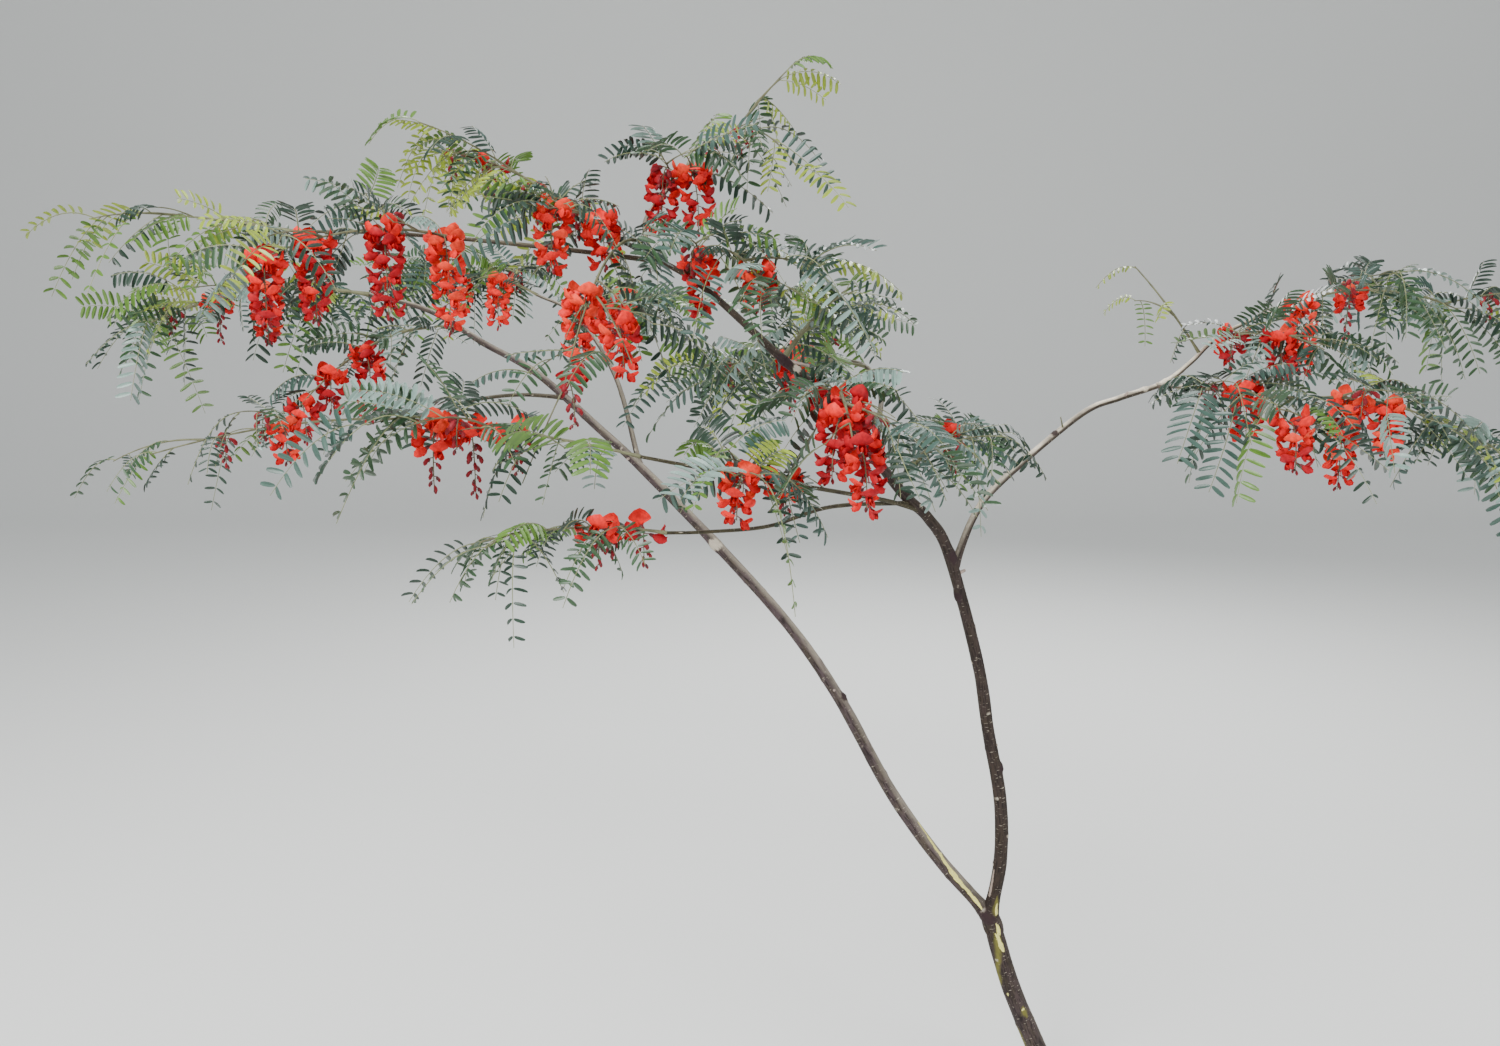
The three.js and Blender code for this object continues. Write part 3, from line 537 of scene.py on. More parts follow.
def stretches(points):
    """The straight lines from each point to the next, (lines, 2, 3)."""
    return np.stack([points[:-1], points[1:]], axis=1)


def even(count):
    """Shares from 0 to 1 in so many steps."""
    return np.linspace(0, 1, count + 1)


def offsets(points, lines):
    """To each point from each straight line: from the foot of the perpendicular, or from the nearer end."""
    foot, way = lines[:, 0], lines[:, 1] - lines[:, 0]
    apart = points[:, None] - foot
    along = np.clip(np.einsum("pli,li->pl", apart, way) / (way * way).sum(1), 0, 1)
    return apart - along[..., None] * way


def distances(points, lines):
    """How far each point is from each straight line."""
    return np.linalg.norm(offsets(points, lines), axis=2)


def fits(shrub, mass, points, own_lines=None, inset=BORDER_CLEARANCE):
    """True when every point is nearer to the mass's own stems than to any other's, and clear of all bark.

    Lines too far from the first point to matter are left out of the measuring.
    """
    own = distances(points, mass.lines if own_lines is None else own_lines).min(1)
    if own.max() > MASS_RADIUS:
        return False
    first = points[:1]
    spread = np.linalg.norm(points - first, axis=1).max()
    border = 2 * inset
    others = np.concatenate([other.lines for other in shrub.masses.values() if other is not mass])
    others = others[distances(first, others)[0] < own.max() + border + spread]
    if len(others) and (distances(points, others).min(1) < own + border).any():
        return False
    near = distances(first, shrub.bark_lines)[0] < shrub.bark_radii + LIMB_CLEARANCE + spread
    if not near.any():
        return True
    gaps = distances(points, shrub.bark_lines[near]) - shrub.bark_radii[near]
    return gaps.min() >= LIMB_CLEARANCE


def twigs_on(stem, rule):
    """Twigs that leave a stem on alternate sides at a slant, by the rule for side twigs or for finer ones."""
    draw = seeded(stem.seed + rule.seed)
    count = rounded(stem.arch.reach / rule.spacing)
    scale = stem.arch.reach * TWIG_REACH if rule is SIDE else 1
    twigs = []
    for i in range(count):
        share = (i + rule.first) / (count + rule.rest)
        hand = rule.hand if i % 2 else -rule.hand
        heading = stem.arch.heading + hand * draw(*TWIG_SPREAD)
        rise = TWIG_RISE * rise_at(stem.arch, share) + draw(*TWIG_LIFT)
        arch = Arch(middle_of(stem.arch, share), heading, rise, scale * draw(*rule.reach), draw(*TWIG_DROOP))
        twigs.append(Stem(arch, *rule.radii, stem.seed + rule.seeds * (i + 1)))
    return twigs


def grow_raceme(shrub, mass, stem, place, seed, inset):
    """One raceme in the first of a few positions round its stem that has room, or none."""
    share, hand, length = place
    draw = seeded(seed)
    for i in range(RACEME_TRIES):
        turn = draw(*RACEME_TURN) * (i / (RACEME_TRIES - 1))
        raceme = SimpleNamespace(
            start=middle_of(stem.arch, share),
            heading=stem.arch.heading + 90 * hand + turn,
            length=length * MM * (1 - SHRINK_PER_TRY * i),
            seed=seed,
        )
        raceme.lines = stretches(stalk(raceme, even(STALK_STRETCHES)))
        count = max(2, rounded(raceme.length / RULE_FLOWER_SPACING))
        along = np.arange(count) / (count - 1)
        roots = stalk(raceme, FIRST_FLOWER + (1 - FIRST_FLOWER) * along)
        ahead = direction(raceme.heading + GOLDEN_TURN * np.arange(count), FIRST_LIFT - LIFT_FALL * along)
        size = RULE_FLOWER_LENGTH * (FIRST_SIZE - FLOWER_SHRINK * along)
        points = np.stack([roots, roots + ahead * size[:, None]], axis=1).reshape(-1, 3)
        if fits(shrub, mass, points, np.concatenate([mass.lines, raceme.lines]), inset):
            return raceme
    return None


def outline(shares, least, rest):
    """How long leaflets are along a leaf: a least share and a rest that is a sine, most near the middle."""
    return least + rest * np.sin(math.pi * (0.12 + 0.8 * shares))


def rule_blade(leaf):
    """Points all over the blade that a leaf's solid has, for testing whether the leaf has room."""
    shares = np.arange(3, 19) / 18
    across = (np.arange(-3, 4) / 3)[:, None]
    middle, ahead, aside, over = ways(leaf, shares)
    size = leaf.reach / LEAF_LENGTH
    length = RULE_LEAFLET * size * outline(shares, 0.62, 0.38)[:, None, None]
    leaning = (ahead * LEAFLET_SWEEP - over * LEAFLET_SAG)[:, None] * (abs(across) * length)
    return (middle[:, None] + aside[:, None] * (across * length) + leaning).reshape(-1, 3)


def grow_leaf(shrub, mass, stem, place, habit):
    """One leaf at a place on a stem, in the first of a few positions that has room, or none."""
    share, hand, seed = place
    draw = seeded(seed)
    filling = habit is FILLING
    for i in range(LEAF_TRIES):
        spread = draw(*LAST_SPREAD) if share == LAST_LEAF else hand * draw(*habit.spread)
        arch = Arch(
            start=middle_of(stem.arch, share),
            heading=stem.arch.heading + spread,
            rise=LEAF_RISE * rise_at(stem.arch, share) + draw(*habit.lift),
            reach=LEAF_LENGTH * mass.size * draw(*habit.size) * (1 - SHRINK_PER_TRY * i),
            droop=draw(*habit.droop),
            roll=draw(*habit.roll),
        )
        points = rule_blade(arch)
        if filling and (not inside_box(points) or veils(shrub, points)):
            continue
        if mass.ribs and distances(points, np.concatenate(mass.ribs)).min() < habit.clearance:
            continue
        if fits(shrub, mass, points, inset=habit.inset):
            mass.ribs.append(stretches(middle_of(arch, even(LEAF_STRETCHES))))
            hidden = points[:, 2].min() < mass.lowest or not filling and veils(shrub, points)
            arch = arch._replace(bend=LEAF_BEND * math.sin(seed))
            return None if hidden else SimpleNamespace(arch=arch, share=share, seed=seed, mass=mass)
    return None


def veils(shrub, points):
    """True when too much of a blade hangs in front of racemes, as seen from the photographed side."""
    x, y, z = np.moveaxis(offsets(points, shrub.stalk_lines), 2, 0)
    veiled = (np.hypot(x, z) < VEIL_RADIUS) & (y < VEIL_RADIUS) & (y > -VEIL_DEPTH)
    return veiled.any(1).mean() > VEIL_SHARE


def inside_box(points):
    """True when no point passes the frame's box by more than the clearance."""
    low, high = np.array(CAD_BOX)
    return bool((points > low - BOX_CLEARANCE).all() and (points < high + BOX_CLEARANCE).all())


def leaf_places(stem, first, stride):
    """Places for leaves on a stem, on alternate sides from its tip down."""
    count = max(2, rounded(stem.arch.reach / LEAF_SPACING))
    for i in np.arange(first, count, stride):
        share = LAST_LEAF - i * LEAFY_SHARE / count
        hand = 1 if int(i // stride) % 2 else -1
        yield share, hand, int(stem.seed + 10 * i)


# Ranges that the leaves' positions are drawn from: those of the solids, and those that fill the crown
Habit = namedtuple("Habit", "spread lift size droop roll clearance inset")
PLAIN = Habit((40, 90), (-5, 40), (0.75, 1), (0.45, 1.05), (-35, 35), LEAF_CLEARANCE, BORDER_CLEARANCE)
FILLING = Habit(
    (20, 105), (-35, 45), (0.58, 0.92), (0.1, 0.95), (-60, 60), CROSSING_CLEARANCE, FILLING_OVERLAP)


@lru_cache(maxsize=1)
def grow_shrub():
    """The whole plant: its limbs, and its masses with their stems, racemes and leaves.

    All shoots are in place before the first raceme, all racemes before the first twig, and all twigs before
    the first leaf. Between twigs and leaves come racemes that have room only past the border, and those on
    side twigs. Last come finer twigs, and leaves at the places that the solids leave out.
    """
    shrub = SimpleNamespace(limbs=grow_limbs())
    limbs, shares = shrub.limbs.values(), even(LIMB_STRETCHES)[:-1]
    shrub.bark_lines = np.concatenate([stretches(limb.curve(even(LIMB_STRETCHES))) for limb in limbs])
    shrub.bark_radii = np.concatenate([
        limb_radius(limb, shares, limb.curve(shares)[:, 2]) for limb in limbs])
    shrub.masses = {name: grow_mass(shrub, i, name) for i, name in enumerate(MASSES)}
    masses = shrub.masses.values()
    for mass in masses:
        add_racemes(shrub, mass, BORDER_CLEARANCE)
    for mass in masses:
        mass.twigs = twigs_with_room(shrub, mass, [mass.shoot], SIDE)
    for mass in masses:
        grow_on(mass, mass.twigs)
    for mass in masses:
        add_racemes(shrub, mass, FILLING_OVERLAP)
        add_side_racemes(shrub, mass)
    shrub.stalk_lines = np.concatenate([
        raceme.lines for mass in masses for raceme in mass.racemes if raceme.length > VEIL_LEAST])
    for mass in masses:
        add_leaves(shrub, mass, mass.stems, (0, LEAF_STRIDE), PLAIN)
    for mass in masses:
        finer = twigs_with_room(shrub, mass, mass.stems, FINE)
        mass.finer = finer[: round(len(finer) * mass.fullness)]
    for mass in masses:
        stems = list(mass.stems)
        grow_on(mass, mass.finer)
        add_leaves(shrub, mass, stems, (1, LEAF_STRIDE), FILLING)
        for own, first in ((mass.finer, 0), (stems, 0.5), (stems, 0.25)):
            add_leaves(shrub, mass, own, (first, 1), FILLING)
    return shrub


def grow_mass(shrub, number, name):
    """A mass with nothing but its shoot, from its row in the tables."""
    on, at, heading, rise, reach, droop, young, places = MASSES[name]
    bough = shrub.limbs[on]
    start = bough.curve(at)
    foot = limb_radius(bough, at, start[2]) * (1 if at == 1 else SIDE_SHOOT_SHARE)
    arch = Arch(start, heading, rise, reach * MM, droop)
    shoot = Stem(arch, foot, SHOOT_TIP, FIRST_SEED + SEED_STEP * number)
    size, fullness = THIN.get(name, (1, 1))
    return SimpleNamespace(
        size=size, fullness=fullness, shoot=shoot, stems=[shoot], young=young, places=places,
        opened=OPEN_SHARES.get(name, (OPEN_SHARE,) * len(places)), lowest=LOWEST.get(name, 0),
        side_raceme=SIDE_RACEMES.get(name, SIDE_RACEME), racemes=[], leaves=[], ribs=[],
        lines=stretches(middle_of(arch, even(SHOOT_STRETCHES))))


def twigs_with_room(shrub, mass, stems, rule):
    """The twigs of stems that keep to their mass, but for their feet."""
    tested = even(6)[2 if rule is SIDE else 3:]
    return [twig for stem in stems for twig in twigs_on(stem, rule)
            if fits(shrub, mass, middle_of(twig.arch, tested))]


def add_racemes(shrub, mass, inset):
    """Grows those racemes of a mass that aren't there yet and have room."""
    grown = {raceme.seed for raceme in mass.racemes}
    for i, place in enumerate(mass.places):
        seed = mass.shoot.seed + i
        if seed not in grown:
            add_raceme(mass, grow_raceme(shrub, mass, mass.shoot, place, seed, inset), mass.opened[i])


def add_side_racemes(shrub, mass):
    """Grows a raceme on every second side twig of a mass that flowers, on alternate sides."""
    share, hand, length, opened = mass.side_raceme
    for i, twig in enumerate(mass.twigs[::2] if mass.places else []):
        place = (share, -hand if i % 2 else hand, length)
        add_raceme(mass, grow_raceme(shrub, mass, twig, place, twig.seed + 3, FILLING_OVERLAP), opened)


@lru_cache(maxsize=1)
def regions():
    """Each part of the crown by its name: its masses, and the nodes of the frame that they stand for."""
    masses = iter(grow_shrub().masses.items())
    found = {}
    for region, count in REGIONS.items():
        names, own = zip(*islice(masses, count))
        found[region] = (own, [name + "_foliage" for name in names])
    return found


def grow_on(mass, twigs):
    """Adds twigs to a mass's stems and to the lines that mark its border."""
    mass.stems.extend(twigs)
    lines = [stretches(middle_of(twig.arch, even(TWIG_STRETCHES))) for twig in twigs]
    mass.lines = np.concatenate([mass.lines, *lines])


def add_raceme(mass, raceme, opened):
    """Adds a raceme that found room to its mass and to the lines that mark its border."""
    if raceme:
        raceme.opened = opened
        mass.racemes.append(raceme)
        mass.lines = np.concatenate([mass.lines, raceme.lines])


def add_leaves(shrub, mass, stems, steps, habit):
    """Grows leaves at every step of the stems' places that has room; a thin mass leaves out part of the
    filling, evenly by seed."""
    for stem in stems:
        for place in leaf_places(stem, *steps):
            if habit is FILLING and seeded_share(place[2]) > mass.fullness:
                continue
            leaf = grow_leaf(shrub, mass, stem, place, habit)
            if leaf:
                mass.leaves.append(leaf)


# Surfaces

def skin_triangles(rows, sides):
    """Triangles of a closed skin: rings joined to the next ring, and a fan round the pole at each end.

    The points are the rings in order, then the foot's pole and the tip's.
    """
    ring = np.arange(sides)
    after = (ring + 1) % sides
    row = np.arange(rows - 1)[:, None] * sides
    a, b = row + ring, row + after
    walls = np.stack([a, b, b + sides, a, b + sides, a + sides], axis=-1).reshape(-1, 3)
    last = (rows - 1) * sides
    foot, tip = np.full(sides, rows * sides), np.full(sides, rows * sides + 1)
    caps = [np.stack([foot, after, ring], axis=-1), np.stack([tip, last + ring, last + after], axis=-1)]
    return np.concatenate([walls, *caps])


def tubes(middle, aside, over, radius, sides):
    """Closed tubes: ring points lie round the middle, radius away by the cosine aside and the sine over.

    Leading axes hold many tubes at once. Returns the corners (tubes, points, 3) and one tube's triangles.
    """
    turns = turns_of(sides)
    ring = aside[..., None, :] * np.cos(turns)[:, None] + over[..., None, :] * np.sin(turns)[:, None]
    rings = middle[..., None, :] + radius[..., None, None] * ring
    rows = middle.shape[-2]
    points = rings.reshape(*rings.shape[:-3], rows * sides, 3)
    corners = np.concatenate([points, middle[..., :1, :], middle[..., -1:, :]], axis=-2)
    return corners, skin_triangles(rows, sides)


def blade(spine, wide, thick, cup, sides):
    """A closed blade in its own frame, x ahead, y aside and z over, from arrays along its spine.

    The spine runs in the upright plane. Each ring is an ellipse, wide across and thick along the spine's
    normal, and cup lifts it by the square of the way across. The first and last spine points are the poles.
    """
    turns = turns_of(sides)
    way = unit(np.gradient(spine, axis=0))[1:-1]
    across, height = np.cos(turns), np.sin(turns)
    off = thick[:, None] * height + cup[:, None] * across**2
    inner = spine[1:-1]
    x = inner[:, :1] - way[:, 1:] * off
    z = inner[:, 1:] + way[:, :1] * off
    y = wide[:, None] * across
    rings = np.stack([x, y, z], axis=-1).reshape(-1, 3)
    poles = np.stack([spine[[0, -1], 0], np.zeros(2), spine[[0, -1], 1]], axis=-1)
    return np.concatenate([rings, poles]), skin_triangles(len(inner), sides)


def placed(shape, root, ahead, aside, over, scale):
    """Copies of a shape: each corner is its root, plus x times ahead, y times aside and z times over, each
    stretched by its scale. Returns the corners (copies, points, 3) and one copy's triangles."""
    corners, triangles = shape
    frames = np.stack([ahead, aside, over], axis=1)
    return root[:, None] + np.einsum("vi,ni,nij->nvj", corners, scale, frames), triangles


def leaflet_shape():
    """A leaflet one long and one wide: a blunt oblong whose half width is the root of one less the cube of
    the distance from its middle, folded a little upwards along its rib and bent down towards its tip."""
    shares = np.array([0, 0.09, 0.36, 0.7, 0.94, 1])
    spine = np.stack([shares, -0.1 * shares**2], axis=-1)
    inner = shares[1:-1]
    wide = 0.5 * np.sqrt(1 - abs(2 * inner - 1) ** 3)
    thick = 0.011 * np.ones_like(inner)
    return blade(spine, wide, thick, 0.16 * wide, 4)


def standard_shape():
    """The broad upper petal, one wide: a narrow claw that runs ahead, then a round blade turned up and back.

    Its sides fold away from the viewer, its rim is wavy and its top has a shallow notch.
    """
    bends = even(8)[:, None]
    spine = (1 - bends)**2 * (0.06, 0.02) + 2 * bends * (1 - bends) * (0.72, -0.02) + bends**2 * (0.44, 0.9)
    wide = 0.5 * np.array([0.14, 0.42, 0.8, 1.0, 1.02, 0.86, 0.5])
    corners, triangles = blade(spine, wide, np.full(7, 0.012), 0.35 * wide, 8)
    x, y, z = corners.T
    x += 0.05 * np.sin(13 * y + 5 * z) * np.clip(z, 0, 1)
    z -= 0.12 * bell(y / 0.12) * np.clip(4 * z - 2.4, 0, 1)
    return corners, triangles


def wing_shape():
    """A side petal lying beside the keel, one long: an upright oblong blade, narrow at its claw."""
    shares = np.array([0, 0.12, 0.36, 0.66, 0.9, 1])
    spine = np.stack([shares, 0.1 * shares - 0.3 * shares * (1 - shares)], axis=-1)
    wide = np.array([0.07, 0.2, 0.25, 0.15])
    corners, triangles = blade(spine, wide, np.full(4, 0.014), 0.3 * wide, 6)
    return corners[:, [0, 2, 1]] * (1, -1, 1), triangles


def keel_shape():
    """The boat of the two lowest petals, one long, which turns up at its tip."""
    shares = np.array([0, 0.15, 0.45, 0.75, 0.93, 1])
    spine = np.stack([shares, -0.12 * np.sin(math.pi * shares) + 0.3 * shares**4], axis=-1)
    return blade(spine, np.array([0.06, 0.1, 0.1, 0.06]), np.array([0.07, 0.15, 0.15, 0.08]), np.zeros(4), 6)


def calyx_shape():
    """The cup that holds the petals, one long: it widens fast and then stands nearly straight."""
    spine = np.stack([np.array([0, 0.08, 0.4, 0.95, 1]), np.zeros(5)], axis=-1)
    wide = np.array([0.16, 0.4, 0.52])
    return blade(spine, wide, wide, np.zeros(3), 6)


def bud_shape():
    """A flower bud, one long: a slightly bent spindle, fullest past its middle."""
    shares = np.array([0, 0.12, 0.45, 0.75, 0.93, 1])
    spine = np.stack([shares, 0.12 * np.sin(math.pi * shares)], axis=-1)
    wide = np.array([0.11, 0.17, 0.19, 0.1])
    return blade(spine, wide, wide, np.zeros(4), 6)


def pedicel_shape():
    """A thin straight stalk, one long and one across."""
    spine = np.stack([np.array([0, 0.02, 0.98, 1]), np.zeros(4)], axis=-1)
    return blade(spine, np.full(2, 0.5), np.full(2, 0.5), np.zeros(2), 4)


# Pieces

def make_piece(name, shells, materials, slot, nodes):
    """One object from shells, each its corners (copies, points, 3), one copy's triangles and its material's
    number. It rides on the shrub and stands for nodes of the frame. Its slot is not used."""
    corners, triangles, numbers, count = [], [], [], 0
    for points, faces, number in shells:
        points = points.reshape(-1, points.shape[-2], 3)
        copies, size = points.shape[:2]
        starts = count + size * np.arange(copies)
        corners.append(points.reshape(-1, 3))
        triangles.append((faces + starts[:, None, None]).reshape(-1, 3))
        numbers.append(np.full(copies * len(faces), number))
        count += copies * size
    mesh = bpy.data.meshes.new(name)
    mesh.from_pydata(np.concatenate(corners), [], np.concatenate(triangles))
    mesh.polygons.foreach_set("material_index", np.concatenate(numbers).astype(np.int32))
    mesh.polygons.foreach_set("use_smooth", np.ones(len(mesh.polygons), bool))
    mesh.update()
    mesh.set_sharp_from_angle(angle=SHARP_ANGLE)
    for material in materials:
        mesh.materials.append(material)
    piece = bpy.data.objects.new(name, mesh)
    bpy.context.scene.collection.objects.link(piece)
    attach(piece, "root")
    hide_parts(*nodes)
    return piece


# Bark

def bark_path(names):
    """One path through limbs that follow each other: its middles every few millimetres, the length so far
    and the radius there. A leader sets out inside the trunk, and the trunk just below the ground."""
    limbs = [grow_shrub().limbs[name] for name in names]
    points = np.vstack([limbs[0].points] + [limb.points[1:] for limb in limbs[1:]])
    knots = np.cumsum([len(limb.points) - 1 for limb in limbs])
    first = 0
    if limbs[0].on == "trunk":
        points = np.vstack([grow_shrub().limbs["trunk"].curve(LEADER_SET_OUT), points])
        knots, first = knots + 1, 1
    curve = spline(points)
    shares = even(PATH_SAMPLES)
    trail = curve(shares)
    lengths = np.concatenate([[0], np.cumsum(np.linalg.norm(np.diff(trail, axis=0), axis=1))])
    marks = np.interp(np.array([first, *knots]) / (len(points) - 1), shares, lengths)
    radii = [limbs[0].radius[0]] + [limb.radius[1] for limb in limbs]
    ground = 0 if limbs[0].on else lengths[FOOT_SAMPLE]
    way = np.linspace(ground, lengths[-1], int((lengths[-1] - ground) / BARK_STEP))
    at = np.interp(way, lengths, shares)
    return curve, at, way - ground, np.interp(way, marks, radii)


def on_bark(table, name, middle, way, angle, radius):
    """How far each point of a bark lies inside the bells of a table: a bell in the way along and round."""
    total = np.zeros(angle.shape)
    for bark, height, facing, size, strength in table:
        if bark == name:
            place = np.interp(height, middle[:, 2], way)
            off = turned(angle - math.radians(facing)) * radius[:, None] / size
            total += strength * np.exp(-(((way - place) / size) ** 2)[:, None] - off**2)
    return total


def striped(lines, middle, angle):
    """How far each point of a bark lies inside the lines down it: 1 on a line, falling evenly to 0 at its
    half width, with the line's facing and half width read off at each ring's height."""
    share = np.zeros(angle.shape)
    for line in lines:
        heights, facings, halves = np.array(line, float).T
        facing, half = (np.interp(middle[:, 2], heights, values) for values in (facings, halves))
        off = np.degrees(abs(turned(angle - np.radians(facing)[:, None])))
        share = np.maximum(share, np.where(half[:, None] > 1, 1 - off / np.maximum(half, 1)[:, None], 0))
    return share


def leaf_scars(way, turn):
    """How far each point of a bark lies inside each leaf scar, a bell in the way along and round, and inside
    a faint ring round the bark at the scar's height."""
    draw = np.random.default_rng(len(way))
    scars = np.arange(SCAR_SPACING, way[-1], SCAR_SPACING)
    scars = scars + draw.uniform(-0.35, 0.35, len(scars)) * SCAR_SPACING
    off = turned(turn[..., None] - np.radians(GOLDEN_TURN) * np.arange(len(scars)))
    near = (way[:, None, None] - scars) / SCAR_LENGTH
    bells = np.exp(-near**2 - (off / SCAR_WIDTH) ** 2) * draw.uniform(0.3, 1, len(scars))
    return bells, 0.12 * bell(near) * draw.uniform(0, 1, len(scars)) ** 2


def swollen_ends(swell, parent, way, height, radius, turn):
    """A bark's swell with what its ends add to it.

    A bough has a collar that dies away from where it comes out of its parent. The trunk has a flare and
    shallow root ribs that die away upwards, and narrows by a bell at its end, inside the leaders' feet, which
    widen by a bell there.
    """
    limbs, w = grow_shrub().limbs, way[:, None]
    if parent == "trunk":
        end = np.linalg.norm(np.diff(limbs["trunk"].curve(np.array([LEADER_SET_OUT, 1])), axis=0))
        return swell * (1 + LEADER_FOOT[0] * bell((w - end) / LEADER_FOOT[1]))
    if parent:
        sunk = limbs[parent].radius[1]
        return swell * (1 + COLLAR * np.exp(-np.maximum(w - sunk, 0) / (2 * radius[0])))
    ribs = ROOT_RIBS[0] * np.cos(5 * turn + 1) * np.exp(-height / ROOT_RIBS[1])
    swell = swell * (1 + FLARE_SHARE * np.exp(-height / FLARE_HEIGHT) + ribs)
    return swell * (1 - FORK_TAPER[0] * bell((way[-1] - w) / FORK_TAPER[1]))


def bark_tones(name, parent, heights):
    """How reddish a bark is at heights, and how much painted sunlight lightens its up-facing side there: near
    the fork the leaders take the trunk's tone, all is darker and there is no painted sunlight."""
    _, reddish, painted_sunlight = BARKS[name]
    if parent in (None, "trunk"):
        away = abs(heights - FORK_HEIGHT)
        near_fork = np.exp(-away / FORK_TONE)
        reddish = reddish + (BARKS["trunk"][1] - reddish) * near_fork
        reddish = reddish + FORK_DARK[0] * np.exp(-away / FORK_DARK[1])
        painted_sunlight = painted_sunlight * (1 - near_fork)
    return reddish, painted_sunlight


def bark_surface(name, relief):
    """The skin of one bark, with its size along the girth and the length, and its painted shares.

    Each ring stands off the middle by the radius times one plus a few slow sine waves, the leaf scars, the
    knots (bells in the way along and round) and what its ends add.
    """
    names = BARKS[name][0]
    curve, at, way, radius = bark_path(names)
    middle = curve(at)
    tiny = 1e-4
    ahead = unit(curve(np.minimum(at + tiny, 1)) - curve(np.maximum(at - tiny, 0)))
    front = -np.eye(3)[1]
    over = unit(front - (ahead @ front)[:, None] * ahead)
    aside = np.cross(ahead, over)

    sides = LEADER_SIDES if radius[0] > THICK else BOUGH_SIDES
    turns = turns_of(sides)
    w, turn = way[:, None], np.broadcast_to(turns, (len(way), sides))
    swell = 0.5 * np.sin(w / 0.031 + 2 * np.sin(w / 0.083)) + 0.35 * np.sin(w / 0.013 + 2 * turn)
    swell = 1 + relief * (swell + 0.3 * np.sin(3 * turn + w / 0.06))
    bells, rings = leaf_scars(way, turn)
    dark, pale = (on_bark(table, name, middle, way, turn, radius) for table in (DARK_KNOTS, PALE_KNOTS))
    rough = 1 + 0.25 * np.sin(5 * turn + w / 0.002)
    swell = swell + 5 * relief * (bells + rings).sum(2) + (dark + pale) * rough
    parent = grow_shrub().limbs[names[0]].on
    height = np.maximum(middle[:, 2:], 0)
    swell = swollen_ends(swell, parent, way, height, radius, turn)
    out = over[:, None] * np.cos(turn)[..., None] + aside[:, None] * np.sin(turn)[..., None]
    if not parent:
        out = out * (1, 1, 0) + UP * (out[..., 2:] * np.minimum(height / 0.05, 1)[..., None])
    points = middle[:, None] + out * (radius[:, None] * swell)[..., None]
    if not parent:
        points[..., 2] = np.maximum(points[..., 2], 0)
    dome = middle[-1] + ahead[-1] * radius[-1] * 0.6
    foot = middle[:1] * (1, 1, 1 if parent else 0)
    corners = np.concatenate([points.reshape(-1, 3), foot, dome[None]])

    reddish, painted_sunlight = bark_tones(name, parent, middle[:, 2:])
    values = {
        # Painted sunlight: the more a point of the bark faces up, the more tan it gets
        "sunlit": painted_sunlight * np.clip(out[..., 2] * 2.2 - 0.45, 0, 1),
        "reddish": reddish,
        "knotted": dark * 3,
        "pale": 0.7 * bells.max(2) + 0.5 * rings.max(2) + 2 * pale,
        "thin": 1.3 - radius[:, None] / 0.005,
    }
    for label, table in (("peeled", PEELED), ("mossy", MOSSY), ("whitened", WHITENED)):
        values[label] = striped(table.get(name, []), middle, turn)
    values = {label: np.broadcast_to(np.clip(value, 0, 1), turn.shape) for label, value in values.items()}
    return corners, skin_triangles(*points.shape[:2]), way, turns * radius.mean(), values


def add_bark(name, relief, material):
    """One bark's object, with its map along girth and length and its painted shares."""
    corners, triangles, way, girth, values = bark_surface(name, relief)
    piece = make_piece("bark_" + name, [(corners[None], triangles, 0)], [material], "bark", BARKS[name][0])
    mesh = piece.data
    rows, sides = len(way), len(girth)
    around = girth[1] * sides
    u = np.concatenate([np.tile(girth, rows), [0, 0]])
    v = np.concatenate([np.repeat(way, sides), way[[0, -1]]])
    at = triangles.ravel()
    across = u[at].reshape(-1, 3)
    wraps = (across.max(1) - across.min(1) > around / 2)[:, None] & (across < around / 2)
    across = across + wraps * around
    layer = mesh.uv_layers.new(name="girth_and_length")
    layer.data.foreach_set("uv", np.stack([across.ravel(), v[at]], axis=-1).astype(np.float32).ravel())
    for label, value in values.items():
        attribute = mesh.attributes.new(label, "FLOAT", "POINT")
        ends = [value[0].mean(), value[-1].mean()]
        attribute.data.foreach_set("value", np.concatenate([value.ravel(), ends]).astype(np.float32))
    return piece


# Twigs

def columns(arches):
    """Many arches as one, whose fields are arrays."""
    return Arch(*(np.array(field, float) for field in zip(*arches)))


def bare_stem(shrub, on, share, heading, rise, reach, droop, radii):
    """A bare twig or stub on a limb or on a mass's shoot, from its row in the tables."""
    limb = shrub.limbs.get(on)
    start = limb.curve(share) if limb else middle_of(shrub.masses[on].shoot.arch, share)
    return Stem(Arch(start, heading, rise, reach * MM, droop), radii[0] * MM, radii[1] * MM, 0)


def stem_tubes(stems, rows, sides):
    """Tapering tubes along stems, with a small swelling at the foot where a stem leaves its bough."""
    shares = even(rows - 1)
    middle, _, aside, over = ways(columns([stem.arch for stem in stems]), shares)
    foot, tip = np.array([(stem.foot, stem.tip) for stem in stems])[..., None].swapaxes(0, 1)
    reach = np.array([stem.arch.reach for stem in stems])[:, None]
    radius = foot + (tip - foot) * shares**0.8
    radius = radius * (1 + 0.3 * np.exp(-reach * shares / (3 * foot)))
    waves = 1 + 0.08 * np.sin(reach * shares / 0.006)
    return tubes(middle, aside, over, radius * waves, sides)


# Leaves

def rachis_tubes(leaves):
    """The leaves' middle ribs, thin tubes that taper to their tips."""
    shares = even(9)
    middle, _, aside, over = ways(columns([leaf.arch for leaf in leaves]), shares)
    radius = np.broadcast_to(0.00095 - 0.0005 * shares, middle.shape[:-1])
    return tubes(middle, aside, over, radius, 4)


